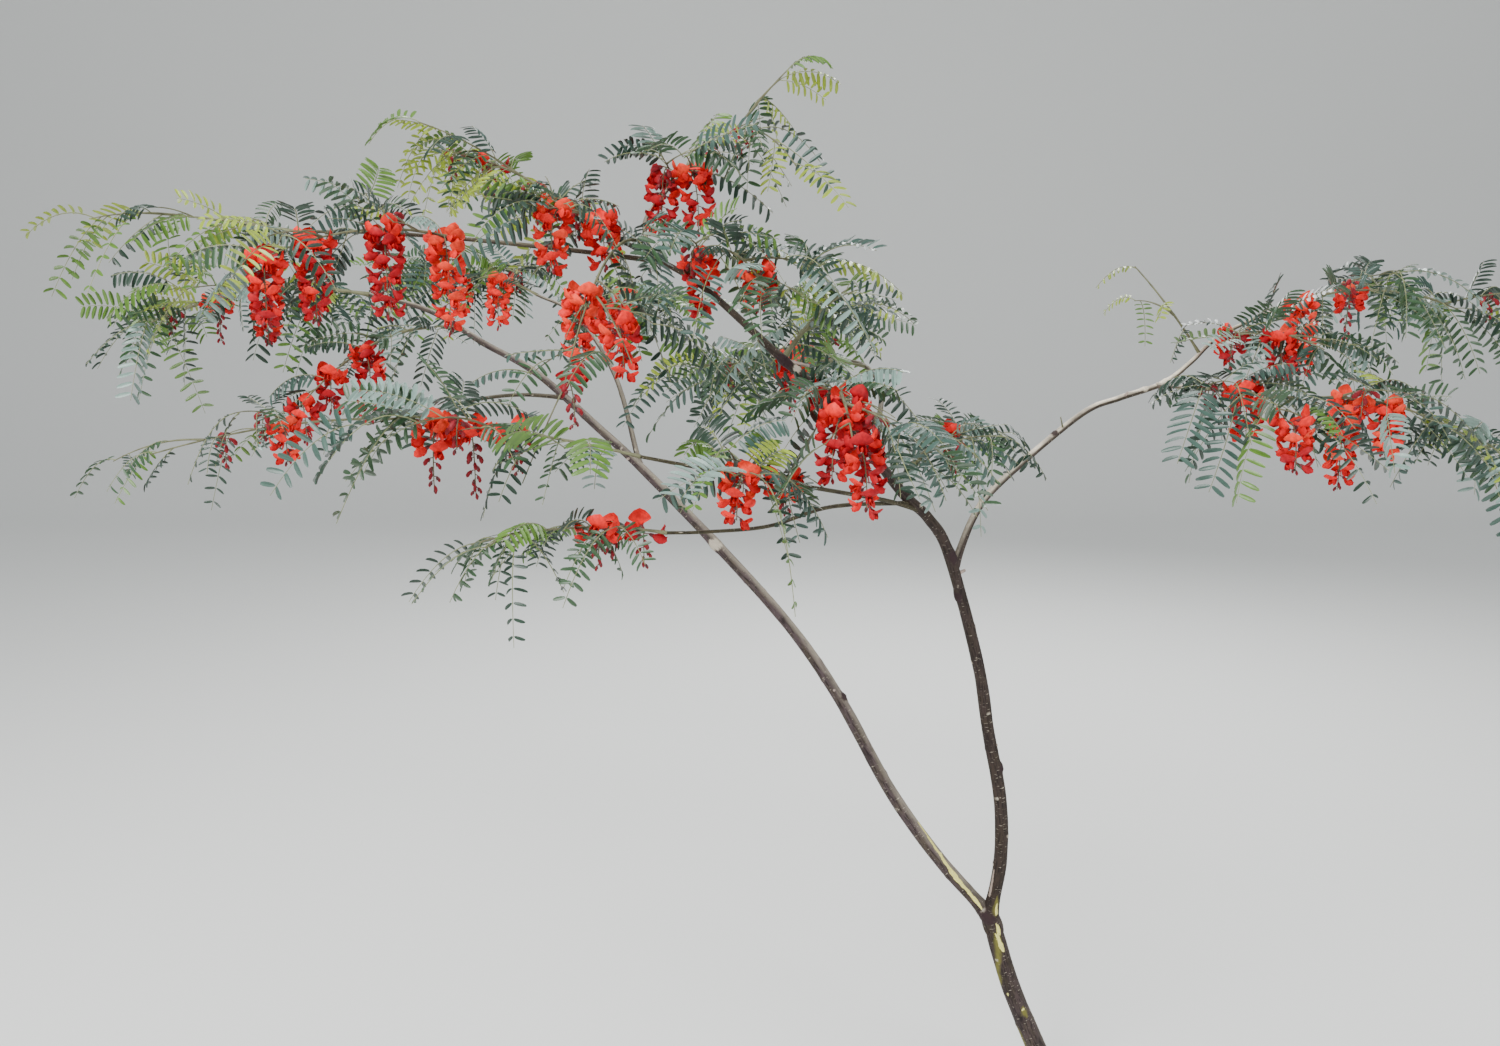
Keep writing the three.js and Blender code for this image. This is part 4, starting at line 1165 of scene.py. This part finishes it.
def leaflet_frames(leaf, sizes):
    """Where a leaf's leaflets sit, which way they point, and how large they are.

    They stand in pairs from the end of the leaf's stalk to its tip, longest in its middle, leaning ahead more
    towards the tip. A leaf's fold brings both rows down or up.
    """
    reach = leaf.arch.reach
    pairs = max(7, rounded(reach * (PAIRS_END - PETIOLE_SHARE) / sizes.pair_spacing))
    shares = PETIOLE_SHARE + (PAIRS_END - PETIOLE_SHARE) * (np.arange(pairs) + 0.5) / pairs
    middle, ahead, aside, over = ways(leaf.arch, shares)
    jitter = np.random.default_rng(leaf.seed).uniform(-1, 1, (5, 2, pairs, 1))
    fold = np.random.default_rng(leaf.seed + 1).uniform(-0.45, 0.9)
    hand = np.array((1, -1))[:, None, None]
    sweep = (0.1 + 0.4 * shares**1.5)[:, None] + 0.08 * jitter[0]
    sag = fold + 0.12 * jitter[1]
    along = unit(hand * aside + sweep * ahead - sag * over)
    normal = unit(over - (over * along).sum(-1, keepdims=True) * along + 0.34 * jitter[2] * ahead)
    normal = unit(normal - (normal * along).sum(-1, keepdims=True) * along)
    across = np.cross(normal, along)
    size = reach / LEAF_LENGTH
    swell = outline(shares, 0.68, 0.32)
    length = sizes.leaflet_length * size * swell[:, None] * (1 + 0.07 * jitter[3])
    width = sizes.leaflet_width * size**0.7 * (0.85 + 0.15 * swell[:, None]) * (1 + 0.08 * jitter[4])
    scale = np.concatenate([length, width, length * (1 + 0.5 * jitter[1])], axis=-1)
    root = np.broadcast_to(middle, along.shape) + along * 0.0008
    return [values.reshape(-1, 3) for values in (root, along, across, normal, scale)]


def leaf_tint(leaf):
    """Which of the leaf colours a leaf gets: young ones towards the tips, the rest dealt out by seed."""
    draw = seeded(leaf.seed + 3)
    draw(0, 1)
    if leaf.share > 0.35 and draw(0, 1) < leaf.mass.young * leaf.share:
        return "young" if draw(0, 1) < 0.6 else "fresh"
    chance = draw(0, 1)
    return next(tint for tint, limit in GROWN_TINTS.items() if chance <= limit)


# Racemes

def raceme_flowers(raceme, sizes):
    """A raceme's flowers from the stalk's foot to its tip: their roots, ways out and sizes, which are still
    buds, and how far along they are.

    They wind round the stalk by the golden angle and point further down towards its tip, where they are
    smaller and stand closer.
    """
    count = max(8, rounded(raceme.length / sizes.flower_spacing))
    along = np.arange(count) / (count - 1)
    jitter = np.random.default_rng(raceme.seed).uniform(-1, 1, (3, count))
    shares = 0.14 + 0.84 * (1 - (1 - along)**1.25)
    heading = raceme.heading + GOLDEN_TURN * np.arange(count) + 16 * jitter[0]
    lift = 4 - 42 * along + 12 * jitter[1]
    size = (1.06 - 0.24 * along) * (1 + 0.08 * jitter[2])
    return stalk(raceme, shares), heading, lift, size, along >= raceme.opened, along


def flower_frames(heading, lift, roll=0):
    """Ways ahead, aside and over of things that point along headings and lifts, and roll about that way."""
    ahead, aside = direction(heading, lift), direction(heading + 90, 0)
    return ahead, *rolled(aside, np.cross(ahead, aside), roll)


def raceme_shells(raceme, sizes):
    """All that hangs on one raceme, as (corners, triangles, material's name)."""
    roots, heading, lift, size, closed, along = raceme_flowers(raceme, sizes)
    draw = np.random.default_rng(raceme.seed + 5)
    shares = even(12)
    middle = stalk(raceme, shares)
    ahead = unit(np.gradient(middle, axis=0))
    aside = np.broadcast_to(direction(raceme.heading + 90, 0), ahead.shape)
    radius = STALK_RADIUS - STALK_TAPER * shares
    shells = [(*tubes(middle, aside, np.cross(ahead, aside), radius, 5), "stalk")]

    length = sizes.pedicel * np.where(closed, 0.95 - 0.5 * along, 1.1 - 0.3 * along)
    frames = flower_frames(heading, lift + 8)
    thin = np.full(len(size), PEDICEL_WIDTH)
    shells.append((*placed(PEDICEL, roots, *frames, np.stack([length, thin, thin], -1)), "calyx"))
    tips = roots + frames[0] * (length * 0.96)[:, None]
    frames = flower_frames(heading + draw.uniform(-14, 14, len(size)), lift - 12 - 25 * closed,
                           draw.uniform(-22, 22, len(size)))
    width = (sizes.flower_width * size)[:, None]
    shells.append((*placed(CALYX, tips, *frames, width * CALYX_SIZE), "calyx"))
    if closed.any():
        swollen = width * (1 - 0.45 * along[:, None])
        buds = [part[closed] for part in (tips, *frames, swollen * BUD_SIZE)]
        shells.append((*placed(BUD, *buds), "bud"))

    opened = [part[~closed] for part in (tips, width, along, *frames)]
    return shells + petal_shells(*opened, seeded_share(raceme.seed), draw)


def petal_shells(tips, width, along, ahead, aside, over, warm, draw):
    """The petals of a raceme's open flowers, which are warmer in colour towards its foot, where the raceme
    hangs
    highest: the orange there is partly a painted highlight, the crimson towards the tip partly painted shade,
    and beyond that the tint varies at random.
    """
    shells = []
    inner = tips + ahead * width * 0.13
    # Partly painted light: orange falls most towards the foot, the top of the hanging raceme, as a painted
    # highlight, and crimson towards the tip as painted shade; the draws per raceme and per flower are tint
    # that varies at random
    warmth = warm + 0.5 * (0.5 - along) + draw.uniform(-0.4, 0.4, len(tips))
    tints = np.where(warmth > 0.8, "orange", np.where(warmth > 0.3, "scarlet", "crimson"))
    for tint, deeper in DEEPER.items():
        own = tints == tint
        if not own.any():
            continue
        scale = width[own] * draw.uniform(0.9, 1.1, (own.sum(), 3))
        shells.append((*placed(STANDARD, inner[own], ahead[own], aside[own], over[own], scale), tint))
        for hand in (1, -1):
            spread = unit(ahead + hand * WING_SPREAD * aside)[own]
            flank = unit(np.cross(over[own], spread))
            root = (inner + aside * hand * 0.0015)[own]
            corners, triangles = WING
            shape = (corners * (1, hand, 1), triangles if hand == 1 else triangles[:, ::-1])
            scale = width[own] * WING_SIZE
            shells.append((*placed(shape, root, spread, flank, np.cross(spread, flank), scale), deeper))
    shells.append((*placed(KEEL, inner, ahead, aside, over, width * KEEL_SIZE), "red"))
    return shells


LEAFLET = leaflet_shape()
STANDARD = standard_shape()
WING = wing_shape()
KEEL = keel_shape()
CALYX = calyx_shape()
BUD = bud_shape()
PEDICEL = pedicel_shape()


# Materials

def shader(name, **finish):
    """A new material, its node tree, and its surface shader with the finish set on it."""
    material = bpy.data.materials.new(name)
    material.use_nodes = True
    surface = material.node_tree.nodes["Principled BSDF"]
    set_inputs(material.node_tree, surface, finish)
    return material, material.node_tree, surface


def set_inputs(tree, node, inputs):
    """Sets a node's inputs, or links them where the value is another node's output. In an input's name an
    underscore stands for a space, and one before a number alone for the input of that number."""
    for key, value in inputs.items():
        socket = node.inputs[int(key[1:])] if key[0] == "_" else node.inputs[key.replace("_", " ")]
        if isinstance(value, bpy.types.NodeSocket):
            tree.links.new(value, socket)
        else:
            socket.default_value = value


def add_node(tree, kind, output=0, **inputs):
    """The output of a new node whose inputs are set."""
    node = tree.nodes.new("ShaderNode" + kind)
    set_inputs(tree, node, inputs)
    return node.outputs[output]


def noise(tree, place, scale, detail=3.0, stretch=(1, 1, 1)):
    """The height of a noise over places stretched along each axis."""
    mapped = add_node(tree, "Mapping", Vector=place, Scale=stretch)
    return add_node(tree, "TexNoise", Vector=mapped, Scale=scale, Detail=detail)


def ramp(tree, value, low, high):
    """A value brought from between low and high to between 0 and 1, and held there."""
    return add_node(tree, "MapRange", Value=value, From_Min=low, From_Max=high)


def ramp_between(tree, value, low, high):
    """A value from 0 to 1 brought to between low and high."""
    return add_node(tree, "MapRange", Value=value, To_Min=low, To_Max=high)


def blend(tree, share, first, second):
    """A colour between two, each a colour or another node's output."""
    node = tree.nodes.new("ShaderNodeMix")
    node.data_type = "RGBA"
    colours = (value if isinstance(value, bpy.types.NodeSocket) else (*value, 1) for value in (first, second))
    set_inputs(tree, node, dict(zip(("_0", "_6", "_7"), (share, *colours))))
    return node.outputs[2]


def plus(tree, first, second):
    """The sum of two values."""
    return add_node(tree, "Math", _0=first, _1=second)


def times(tree, first, second):
    """The product of two values."""
    product = plus(tree, first, second)
    product.node.operation = "MULTIPLY"
    return product


def painted(tree, label):
    """The value painted on the mesh under a label."""
    value = add_node(tree, "Attribute", "Fac")
    value.node.attribute_name = label
    return value


def bark_material(colours):
    """Smooth bark, purple-brown or reddish dark, mottled with olive, with pale crosswise pores and fine
    cracks.

    The painted shares say how reddish it is, where painted sunlight lightens its up-facing side to tan, where
    it is thin and green, and where it is knotted, scarred, mossy, whitened or peeled to straw-yellow, with
    edges broken by noise.
    """
    material, tree, surface = shader("bark", Specular_IOR_Level=0.2)
    place = add_node(tree, "UVMap")
    patches = noise(tree, place, 60, 4, (1, 0.35, 1))
    cracks = noise(tree, place, 420, 3, (1, 0.12, 1))
    bands = noise(tree, place, 14, 2)
    edges = noise(tree, place, 150, 2, (1, 0.6, 1))
    grain = noise(tree, place, 900, 2, (1, 0.5, 1))
    pores = noise(tree, place, 420, 1, (0.3, 1, 1))
    ragged = times(tree, plus(tree, cracks, edges), 0.7)

    def marked(value, low, high, strength):
        return times(tree, ramp(tree, value, low, high), strength)

    def broken(label, low, high):
        return ramp(tree, plus(tree, painted(tree, label), ragged), low, high)

    peeled = broken("peeled", 1.02, 1.1)
    straw = blend(tree, ramp(tree, grain, 0.3, 0.7), colours.peeled, colours.peeled_deep)
    colour = blend(tree, marked(patches, 0.45, 0.65, 0.5), colours.bark, colours.bark_olive)
    for share, tint in (
        (painted(tree, "reddish"), colours.bark_red),
        (marked(bands, 0.5, 0.62, 0.45), colours.bark_crack),
        (times(tree, painted(tree, "thin"), 0.35), colours.twig),
        (marked(cracks, 0.48, 0.64, 0.85), colours.bark_crack),
        # Painted sunlight: tan on the up-facing side, broken up by the patches
        (times(tree, painted(tree, "sunlit"), ramp(tree, patches, 0.2, 0.55)), colours.bark_tan),
        (marked(pores, 0.66, 0.76, 0.35), colours.bark_tan),
        (times(tree, broken("mossy", 0.85, 1.5), 0.8), colours.moss),
        (times(tree, broken("pale", 1, 1.25), 0.5), colours.bark_tan),
        (times(tree, broken("knotted", 0.9, 1.2), 0.95), colours.knot),
        (times(tree, broken("whitened", 1.05, 1.15), 0.7), colours.whitened),
        (peeled, straw),
    ):
        colour = blend(tree, share, colour, tint)
    height = plus(tree, plus(tree, cracks, ramp(tree, pores, 0.62, 0.76)), times(tree, peeled, -0.8))
    relief = add_node(tree, "Bump", Height=height, Strength=0.8, Distance=0.0012)
    roughness = ramp_between(tree, patches, 0.6, 0.85)
    set_inputs(tree, surface, {"Base Color": colour, "Roughness": roughness, "Normal": relief})
    return material


# Finishes in two near tints: the share of the colour that the darker one has, the mottling's scale, the
# roughness, the depth of the relief in metres, and what else is set on the surface. Leaves shine softly on a
# fine matt surface and petals are velvety.
FINISHES = {
    "leaf": (0.78, 90, 0.4, 0.0004, {
        "Specular_IOR_Level": 0.6, "Sheen_Weight": 0.06, "Sheen_Roughness": 0.4}),
    "petal": (0.68, 160, 0.55, 0.0003, {"Specular_IOR_Level": 0.2}),
    "twig": (0.6, 60, 0.7, 0.0006, {}),
    "broken_wood": (0.6, 120, 0.8, 0.0005, {}),
    "leaf_rib": (0.75, 80, 0.55, 0.0003, {}),
    "calyx": (0.7, 120, 0.6, 0.0003, {}),
    "raceme_stalk": (0.7, 90, 0.6, 0.0003, {}),
}


def mottled(name, colour, kind=None):
    """A material with a finish of the table, mottled by noise on the object's own coordinates."""
    darker, scale, roughness, depth, finish = FINISHES[kind or name]
    material, tree, surface = shader(name, **finish)
    place = add_node(tree, "TexCoord", "Object")
    spots = noise(tree, place, scale, 2)
    dark = [channel * darker for channel in colour]
    relief = noise(tree, place, scale * 6, 2)
    set_inputs(tree, surface, {
        "Base Color": blend(tree, ramp(tree, spots, 0.35, 0.65), colour, dark),
        "Roughness": ramp_between(tree, spots, roughness - 0.06, roughness + 0.08),
        "Normal": add_node(tree, "Bump", Height=relief, Strength=0.4, Distance=depth),
    })
    return material


# Settings

def length_property(name, description, default, least):
    """A length that a user would change."""
    return FloatProperty(name=name, description=description, default=default, min=least, unit="LENGTH")


class ShrubSizes(bpy.types.PropertyGroup):
    """Sizes that a user would change."""
    bark_relief: FloatProperty(
        name="Bark relief", description="How far the bark swells and shrinks, as a share of the radius",
        default=0.03, min=0, max=0.2, subtype="FACTOR")
    leaflet_length: length_property("Leaflet length", "Longest leaflets of a full-grown leaf", 0.037, 0.005)
    leaflet_width: length_property("Leaflet width", "Width of a full-grown leaf's leaflets", 0.0078, 0.001)
    pair_spacing: length_property("Pair spacing", "From one pair of leaflets to the next", 0.0112, 0.003)
    flower_width: length_property("Flower width", "Upper petal of the largest flowers", 0.0268, 0.005)
    flower_spacing: length_property("Flower spacing", "From one flower to the next", 0.0046, 0.002)
    pedicel: length_property("Flower stalk", "Length of the thin stalk of each flower", 0.0068, 0.002)


def colour_property(name, description, default):
    """A colour that a user would change."""
    return FloatVectorProperty(
        name=name, description=description, default=default, subtype="COLOR", size=3, min=0, max=1)


class ShrubColours(bpy.types.PropertyGroup):
    """Colours that a user would change."""
    bark: colour_property("Bark", "Purple-brown ground of the bark", (0.074, 0.052, 0.054))
    bark_red: colour_property("Dark bark", "Reddish dark ground of the bark", (0.03, 0.02, 0.014))
    bark_olive: colour_property("Olive bark", "Olive patches of the bark", (0.075, 0.066, 0.036))
    bark_crack: colour_property("Cracks", "Fine cracks along the bark", (0.01, 0.006, 0.006))
    # Tan is the real colour of pores, leaf scars and pale knots, and also painted sunlight on the barks'
    # up-facing sides
    bark_tan: colour_property("Tan bark", "Bark that faces the sky, pores and leaf scars", (0.85, 0.76, 0.6))
    knot: colour_property("Knots", "Dark purple knots", (0.03, 0.016, 0.018))
    moss: colour_property("Moss", "Olive-yellow stains round the fork", (0.16, 0.15, 0.03))
    whitened: colour_property("Whitened bark", "Pinkish white lines", (0.42, 0.33, 0.28))
    peeled: colour_property("Peeled bark", "Straw-yellow streaks near the fork", (0.82, 0.78, 0.28))
    peeled_deep: colour_property("Deeper peeled bark", "Deeper grain of the streaks", (0.56, 0.5, 0.11))
    twig: colour_property("Twigs", "Green-brown young bark", (0.15, 0.15, 0.075))
    rachis: colour_property("Leaf ribs", "Pale middle ribs of the leaves", (0.2, 0.22, 0.1))
    deep: colour_property("Deep leaves", "Dark blue-green leaves", (0.01, 0.036, 0.018))
    middle: colour_property("Middle leaves", "Plain green leaves", (0.024, 0.07, 0.022))
    grey: colour_property("Grey leaves", "Grey-green leaves", (0.04, 0.09, 0.068))
    # Painted reflection: a lighter base colour that stands for the sky's sheen on the upper sides of some
    # leaves
    silver: colour_property("Silver leaves", "Pale leaves that shine towards the sky", (0.2, 0.3, 0.26))
    fresh: colour_property("Fresh leaves", "Bright green leaves", (0.085, 0.185, 0.018))
    young: colour_property("Young leaves", "Yellow-green leaves at the tips", (0.27, 0.36, 0.022))
    # Orange and crimson petals are partly painted light: orange for highlights towards the racemes' tops,
    # crimson for shade towards their tips
    orange: colour_property("Orange petals", "The warmest upper petals", (0.95, 0.055, 0.022))
    scarlet: colour_property("Scarlet petals", "Most upper petals", (0.9, 0.018, 0.014))
    red: colour_property("Red petals", "Side petals and keels", (0.66, 0.007, 0.008))
    crimson: colour_property("Crimson petals", "The deepest petals", (0.44, 0.004, 0.012))
    calyx: colour_property("Calyx", "Dark red cups and flower stalks", (0.14, 0.018, 0.02))
    bud: colour_property("Buds", "Maroon buds", (0.26, 0.012, 0.02))
    floor: colour_property("Floor", "The pale floor and backdrop", (0.74, 0.75, 0.73))


class StageSettings(bpy.types.PropertyGroup):
    """Camera and lights."""
    camera_height: FloatProperty(
        name="Camera height", description="Height of the camera above the ground",
        default=1.4, min=0, unit="LENGTH")
    camera_tilt: FloatProperty(
        name="Camera tilt", description="How far the camera looks down",
        default=math.radians(9.734), subtype="ANGLE")
    lens: FloatProperty(name="Lens", description="Focal length in millimetres", default=31.2, min=5)
    key_power: IntProperty(name="Key light", description="Power of the large soft light", default=330, min=0)


# Operators

class SHRUB_OT_bark(bpy.types.Operator):
    """Makes the bark of the trunk, the leaders and the boughs"""
    bl_idname = "shrub.bark"
    bl_label = "Bark"

    def execute(self, context):
        material = bark_material(context.scene.shrub_colours)
        for name in BARKS:
            add_bark(name, context.scene.shrub_sizes.bark_relief, material)
        return {"FINISHED"}


class SHRUB_OT_twigs(bpy.types.Operator):
    """Makes the shoots, their side twigs and the finer twigs of each part of the crown"""
    bl_idname = "shrub.twigs"
    bl_label = "Twigs"

    def execute(self, context):
        colours = context.scene.shrub_colours
        material = mottled("twig", colours.twig)
        shrub = grow_shrub()
        for region, (masses, nodes) in regions().items():
            kinds = (
                ([mass.shoot for mass in masses], 40, 8),
                ([stem for mass in masses for stem in mass.twigs], 18, 6),
                ([stem for mass in masses for stem in mass.finer], 9, 5),
            )
            shells = [(*stem_tubes(*kind), 0) for kind in kinds if kind[0]]
            make_piece("twigs_" + region, shells, [material], "twig", nodes)
        bare = [bare_stem(shrub, *row) for row in BARE_TWIGS]
        make_piece("bare_twigs", [(*stem_tubes(bare, 18, 6), 0)], [material], "twig", regions()["centre"][1])
        stubs = [bare_stem(shrub, *row) for row in STUBS]
        broken = mottled("broken_wood", colours.whitened)
        make_piece("stubs", [(*stem_tubes(stubs, 7, 8), 0)], [broken], "bark", BARKS["right_leader"][0])
        return {"FINISHED"}


class SHRUB_OT_leaves(bpy.types.Operator):
    """Makes the leaves of each part of the crown, with their colours dealt out leaf by leaf"""
    bl_idname = "shrub.leaves"
    bl_label = "Leaves"

    def execute(self, context):
        colours, sizes = context.scene.shrub_colours, context.scene.shrub_sizes
        materials = [mottled("leaf_" + tint, getattr(colours, tint), "leaf") for tint in LEAF_TINTS]
        rib = mottled("leaf_rib", colours.rachis)
        for region, (masses, nodes) in regions().items():
            leaves = [leaf for mass in masses for leaf in mass.leaves]
            tints = [leaf_tint(leaf) for leaf in leaves]
            grown, young = [], []
            for number, tint in enumerate(LEAF_TINTS):
                frames = [leaflet_frames(leaf, sizes) for leaf, own in zip(leaves, tints) if own == tint]
                if frames:
                    shells = young if tint in YOUNG_TINTS else grown
                    shells.append((*placed(LEAFLET, *map(np.concatenate, zip(*frames))), number))
            make_piece("leaves_" + region, grown, materials, "foliage", nodes)
            if young:
                make_piece("young_leaves_" + region, young, materials, "young_foliage", nodes)
            make_piece("leaf_ribs_" + region, [(*rachis_tubes(leaves), 0)], [rib], "foliage", nodes)
        return {"FINISHED"}


class SHRUB_OT_racemes(bpy.types.Operator):
    """Makes the hanging racemes of each part of the crown: petals, and the stalks, cups and buds"""
    bl_idname = "shrub.racemes"
    bl_label = "Racemes"

    def execute(self, context):
        colours, sizes = context.scene.shrub_colours, context.scene.shrub_sizes
        petals = [mottled("petal_" + name, getattr(colours, name), "petal") for name in PETALS]
        cups = [
            mottled("calyx", colours.calyx),
            mottled("bud", colours.bud, "petal"),
            mottled("raceme_stalk", colours.twig),
        ]
        for region, (masses, nodes) in regions().items():
            racemes = [raceme for mass in masses for raceme in mass.racemes]
            shells = [shell for raceme in racemes for shell in raceme_shells(raceme, sizes)]
            for name, kinds, materials, slot in (
                ("blossom_", PETALS, petals, "blossom"),
                ("buds_", CUPS, cups, "bud"),
            ):
                own = [(points, faces, kinds.index(kind)) for points, faces, kind in shells if kind in kinds]
                make_piece(name + region, own, materials, slot, nodes)
        return {"FINISHED"}


class SHRUB_OT_stage(bpy.types.Operator):
    """Makes the pale floor that turns up into a backdrop, the soft lights and the camera"""
    bl_idname = "shrub.stage"
    bl_label = "Stage"

    def execute(self, context):
        scene = context.scene
        settings = scene.shrub_stage
        mesh = bpy.data.meshes.new("floor")
        mesh.from_pydata(*floor_surface())
        mesh.polygons.foreach_set("use_smooth", np.ones(len(mesh.polygons), bool))
        mesh.materials.append(shader("floor", Base_Color=(*scene.shrub_colours.floor, 1), Roughness=0.9)[0])
        floor = bpy.data.objects.new("floor", mesh)
        scene.collection.objects.link(floor)

        world = bpy.data.worlds.new("studio")
        world.use_nodes = True
        tree = world.node_tree
        set_inputs(tree, tree.nodes["Background"], {"Color": SKY, "Strength": SKY_STRENGTH})
        scene.world = world
        for name, (place, size, share) in LIGHTS.items():
            add_light(name, place, size, settings.key_power * share)

        data = bpy.data.cameras.new("camera")
        data.lens = settings.lens
        data.sensor_width = 36
        camera = bpy.data.objects.new("camera", data)
        camera.location = (*CAMERA_PLACE, settings.camera_height)
        camera.rotation_euler = (math.pi / 2 - settings.camera_tilt, 0, 0)
        scene.collection.objects.link(camera)
        scene.camera = camera
        return {"FINISHED"}


def floor_surface():
    """A level floor whose far side turns up into a wall by a quarter circle: a profile carried along X."""
    turns = np.linspace(0, math.pi / 2, 17)
    depth = np.concatenate([[FLOOR_FRONT], WALL_FOOT + WALL_BEND * np.sin(turns), [WALL_FOOT + WALL_BEND]])
    height = np.concatenate([[0], WALL_BEND * (1 - np.cos(turns)), [WALL_TOP]])
    along = np.array((-FLOOR_SIDE, FLOOR_SIDE))
    rows = len(depth)
    points = np.stack([np.broadcast_to(a, (2, rows)) for a in (along[:, None], depth, height)], axis=-1)
    i = np.arange(rows - 1)
    return points.reshape(-1, 3), [], np.stack([i, i + rows, i + rows + 1, i + 1], axis=-1)


def add_light(name, place, size, power):
    """A square soft light that looks at the middle of the crown."""
    data = bpy.data.lights.new(name, "AREA")
    data.shape = "SQUARE"
    data.size = size
    data.energy = power
    light = bpy.data.objects.new(name, data)
    light.location = place
    aim = np.array(CROWN_MIDDLE) - np.array(place)
    turn = math.atan2(aim[1], aim[0])
    light.rotation_euler = (math.acos(-aim[2] / np.linalg.norm(aim)), 0, turn - math.pi / 2)
    bpy.context.scene.collection.objects.link(light)


class SHRUB_PT_panel(bpy.types.Panel):
    """Lists the pieces and their settings"""
    bl_idname = "SHRUB_PT_panel"
    bl_label = "Rattlebox Shrub"
    bl_space_type = "VIEW_3D"
    bl_region_type = "UI"
    bl_category = "Shrub"

    def draw(self, context):
        scene = context.scene
        for group in (scene.shrub_sizes, scene.shrub_colours, scene.shrub_stage):
            box = self.layout.box()
            for key in type(group).__annotations__:
                box.prop(group, key)
        for operator in OPERATORS:
            self.layout.operator(operator.bl_idname)


OPERATORS = (SHRUB_OT_bark, SHRUB_OT_twigs, SHRUB_OT_leaves, SHRUB_OT_racemes, SHRUB_OT_stage)
GROUPS = {"shrub_sizes": ShrubSizes, "shrub_colours": ShrubColours, "shrub_stage": StageSettings}


def register():
    """Makes the add-on's classes and settings known to Blender."""
    for cls in (*GROUPS.values(), *OPERATORS, SHRUB_PT_panel):
        bpy.utils.register_class(cls)
    for key, group in GROUPS.items():
        setattr(bpy.types.Scene, key, PointerProperty(type=group))


def unregister():
    """Takes them back."""
    for key in GROUPS:
        delattr(bpy.types.Scene, key)
    for cls in reversed((*GROUPS.values(), *OPERATORS, SHRUB_PT_panel)):
        bpy.utils.unregister_class(cls)


def main():
    """Makes every piece and the stage."""
    register()
    bpy.ops.shrub.bark()
    bpy.ops.shrub.twigs()
    bpy.ops.shrub.leaves()
    bpy.ops.shrub.racemes()
    bpy.ops.shrub.stage()


if __name__ == "__main__":
    main()
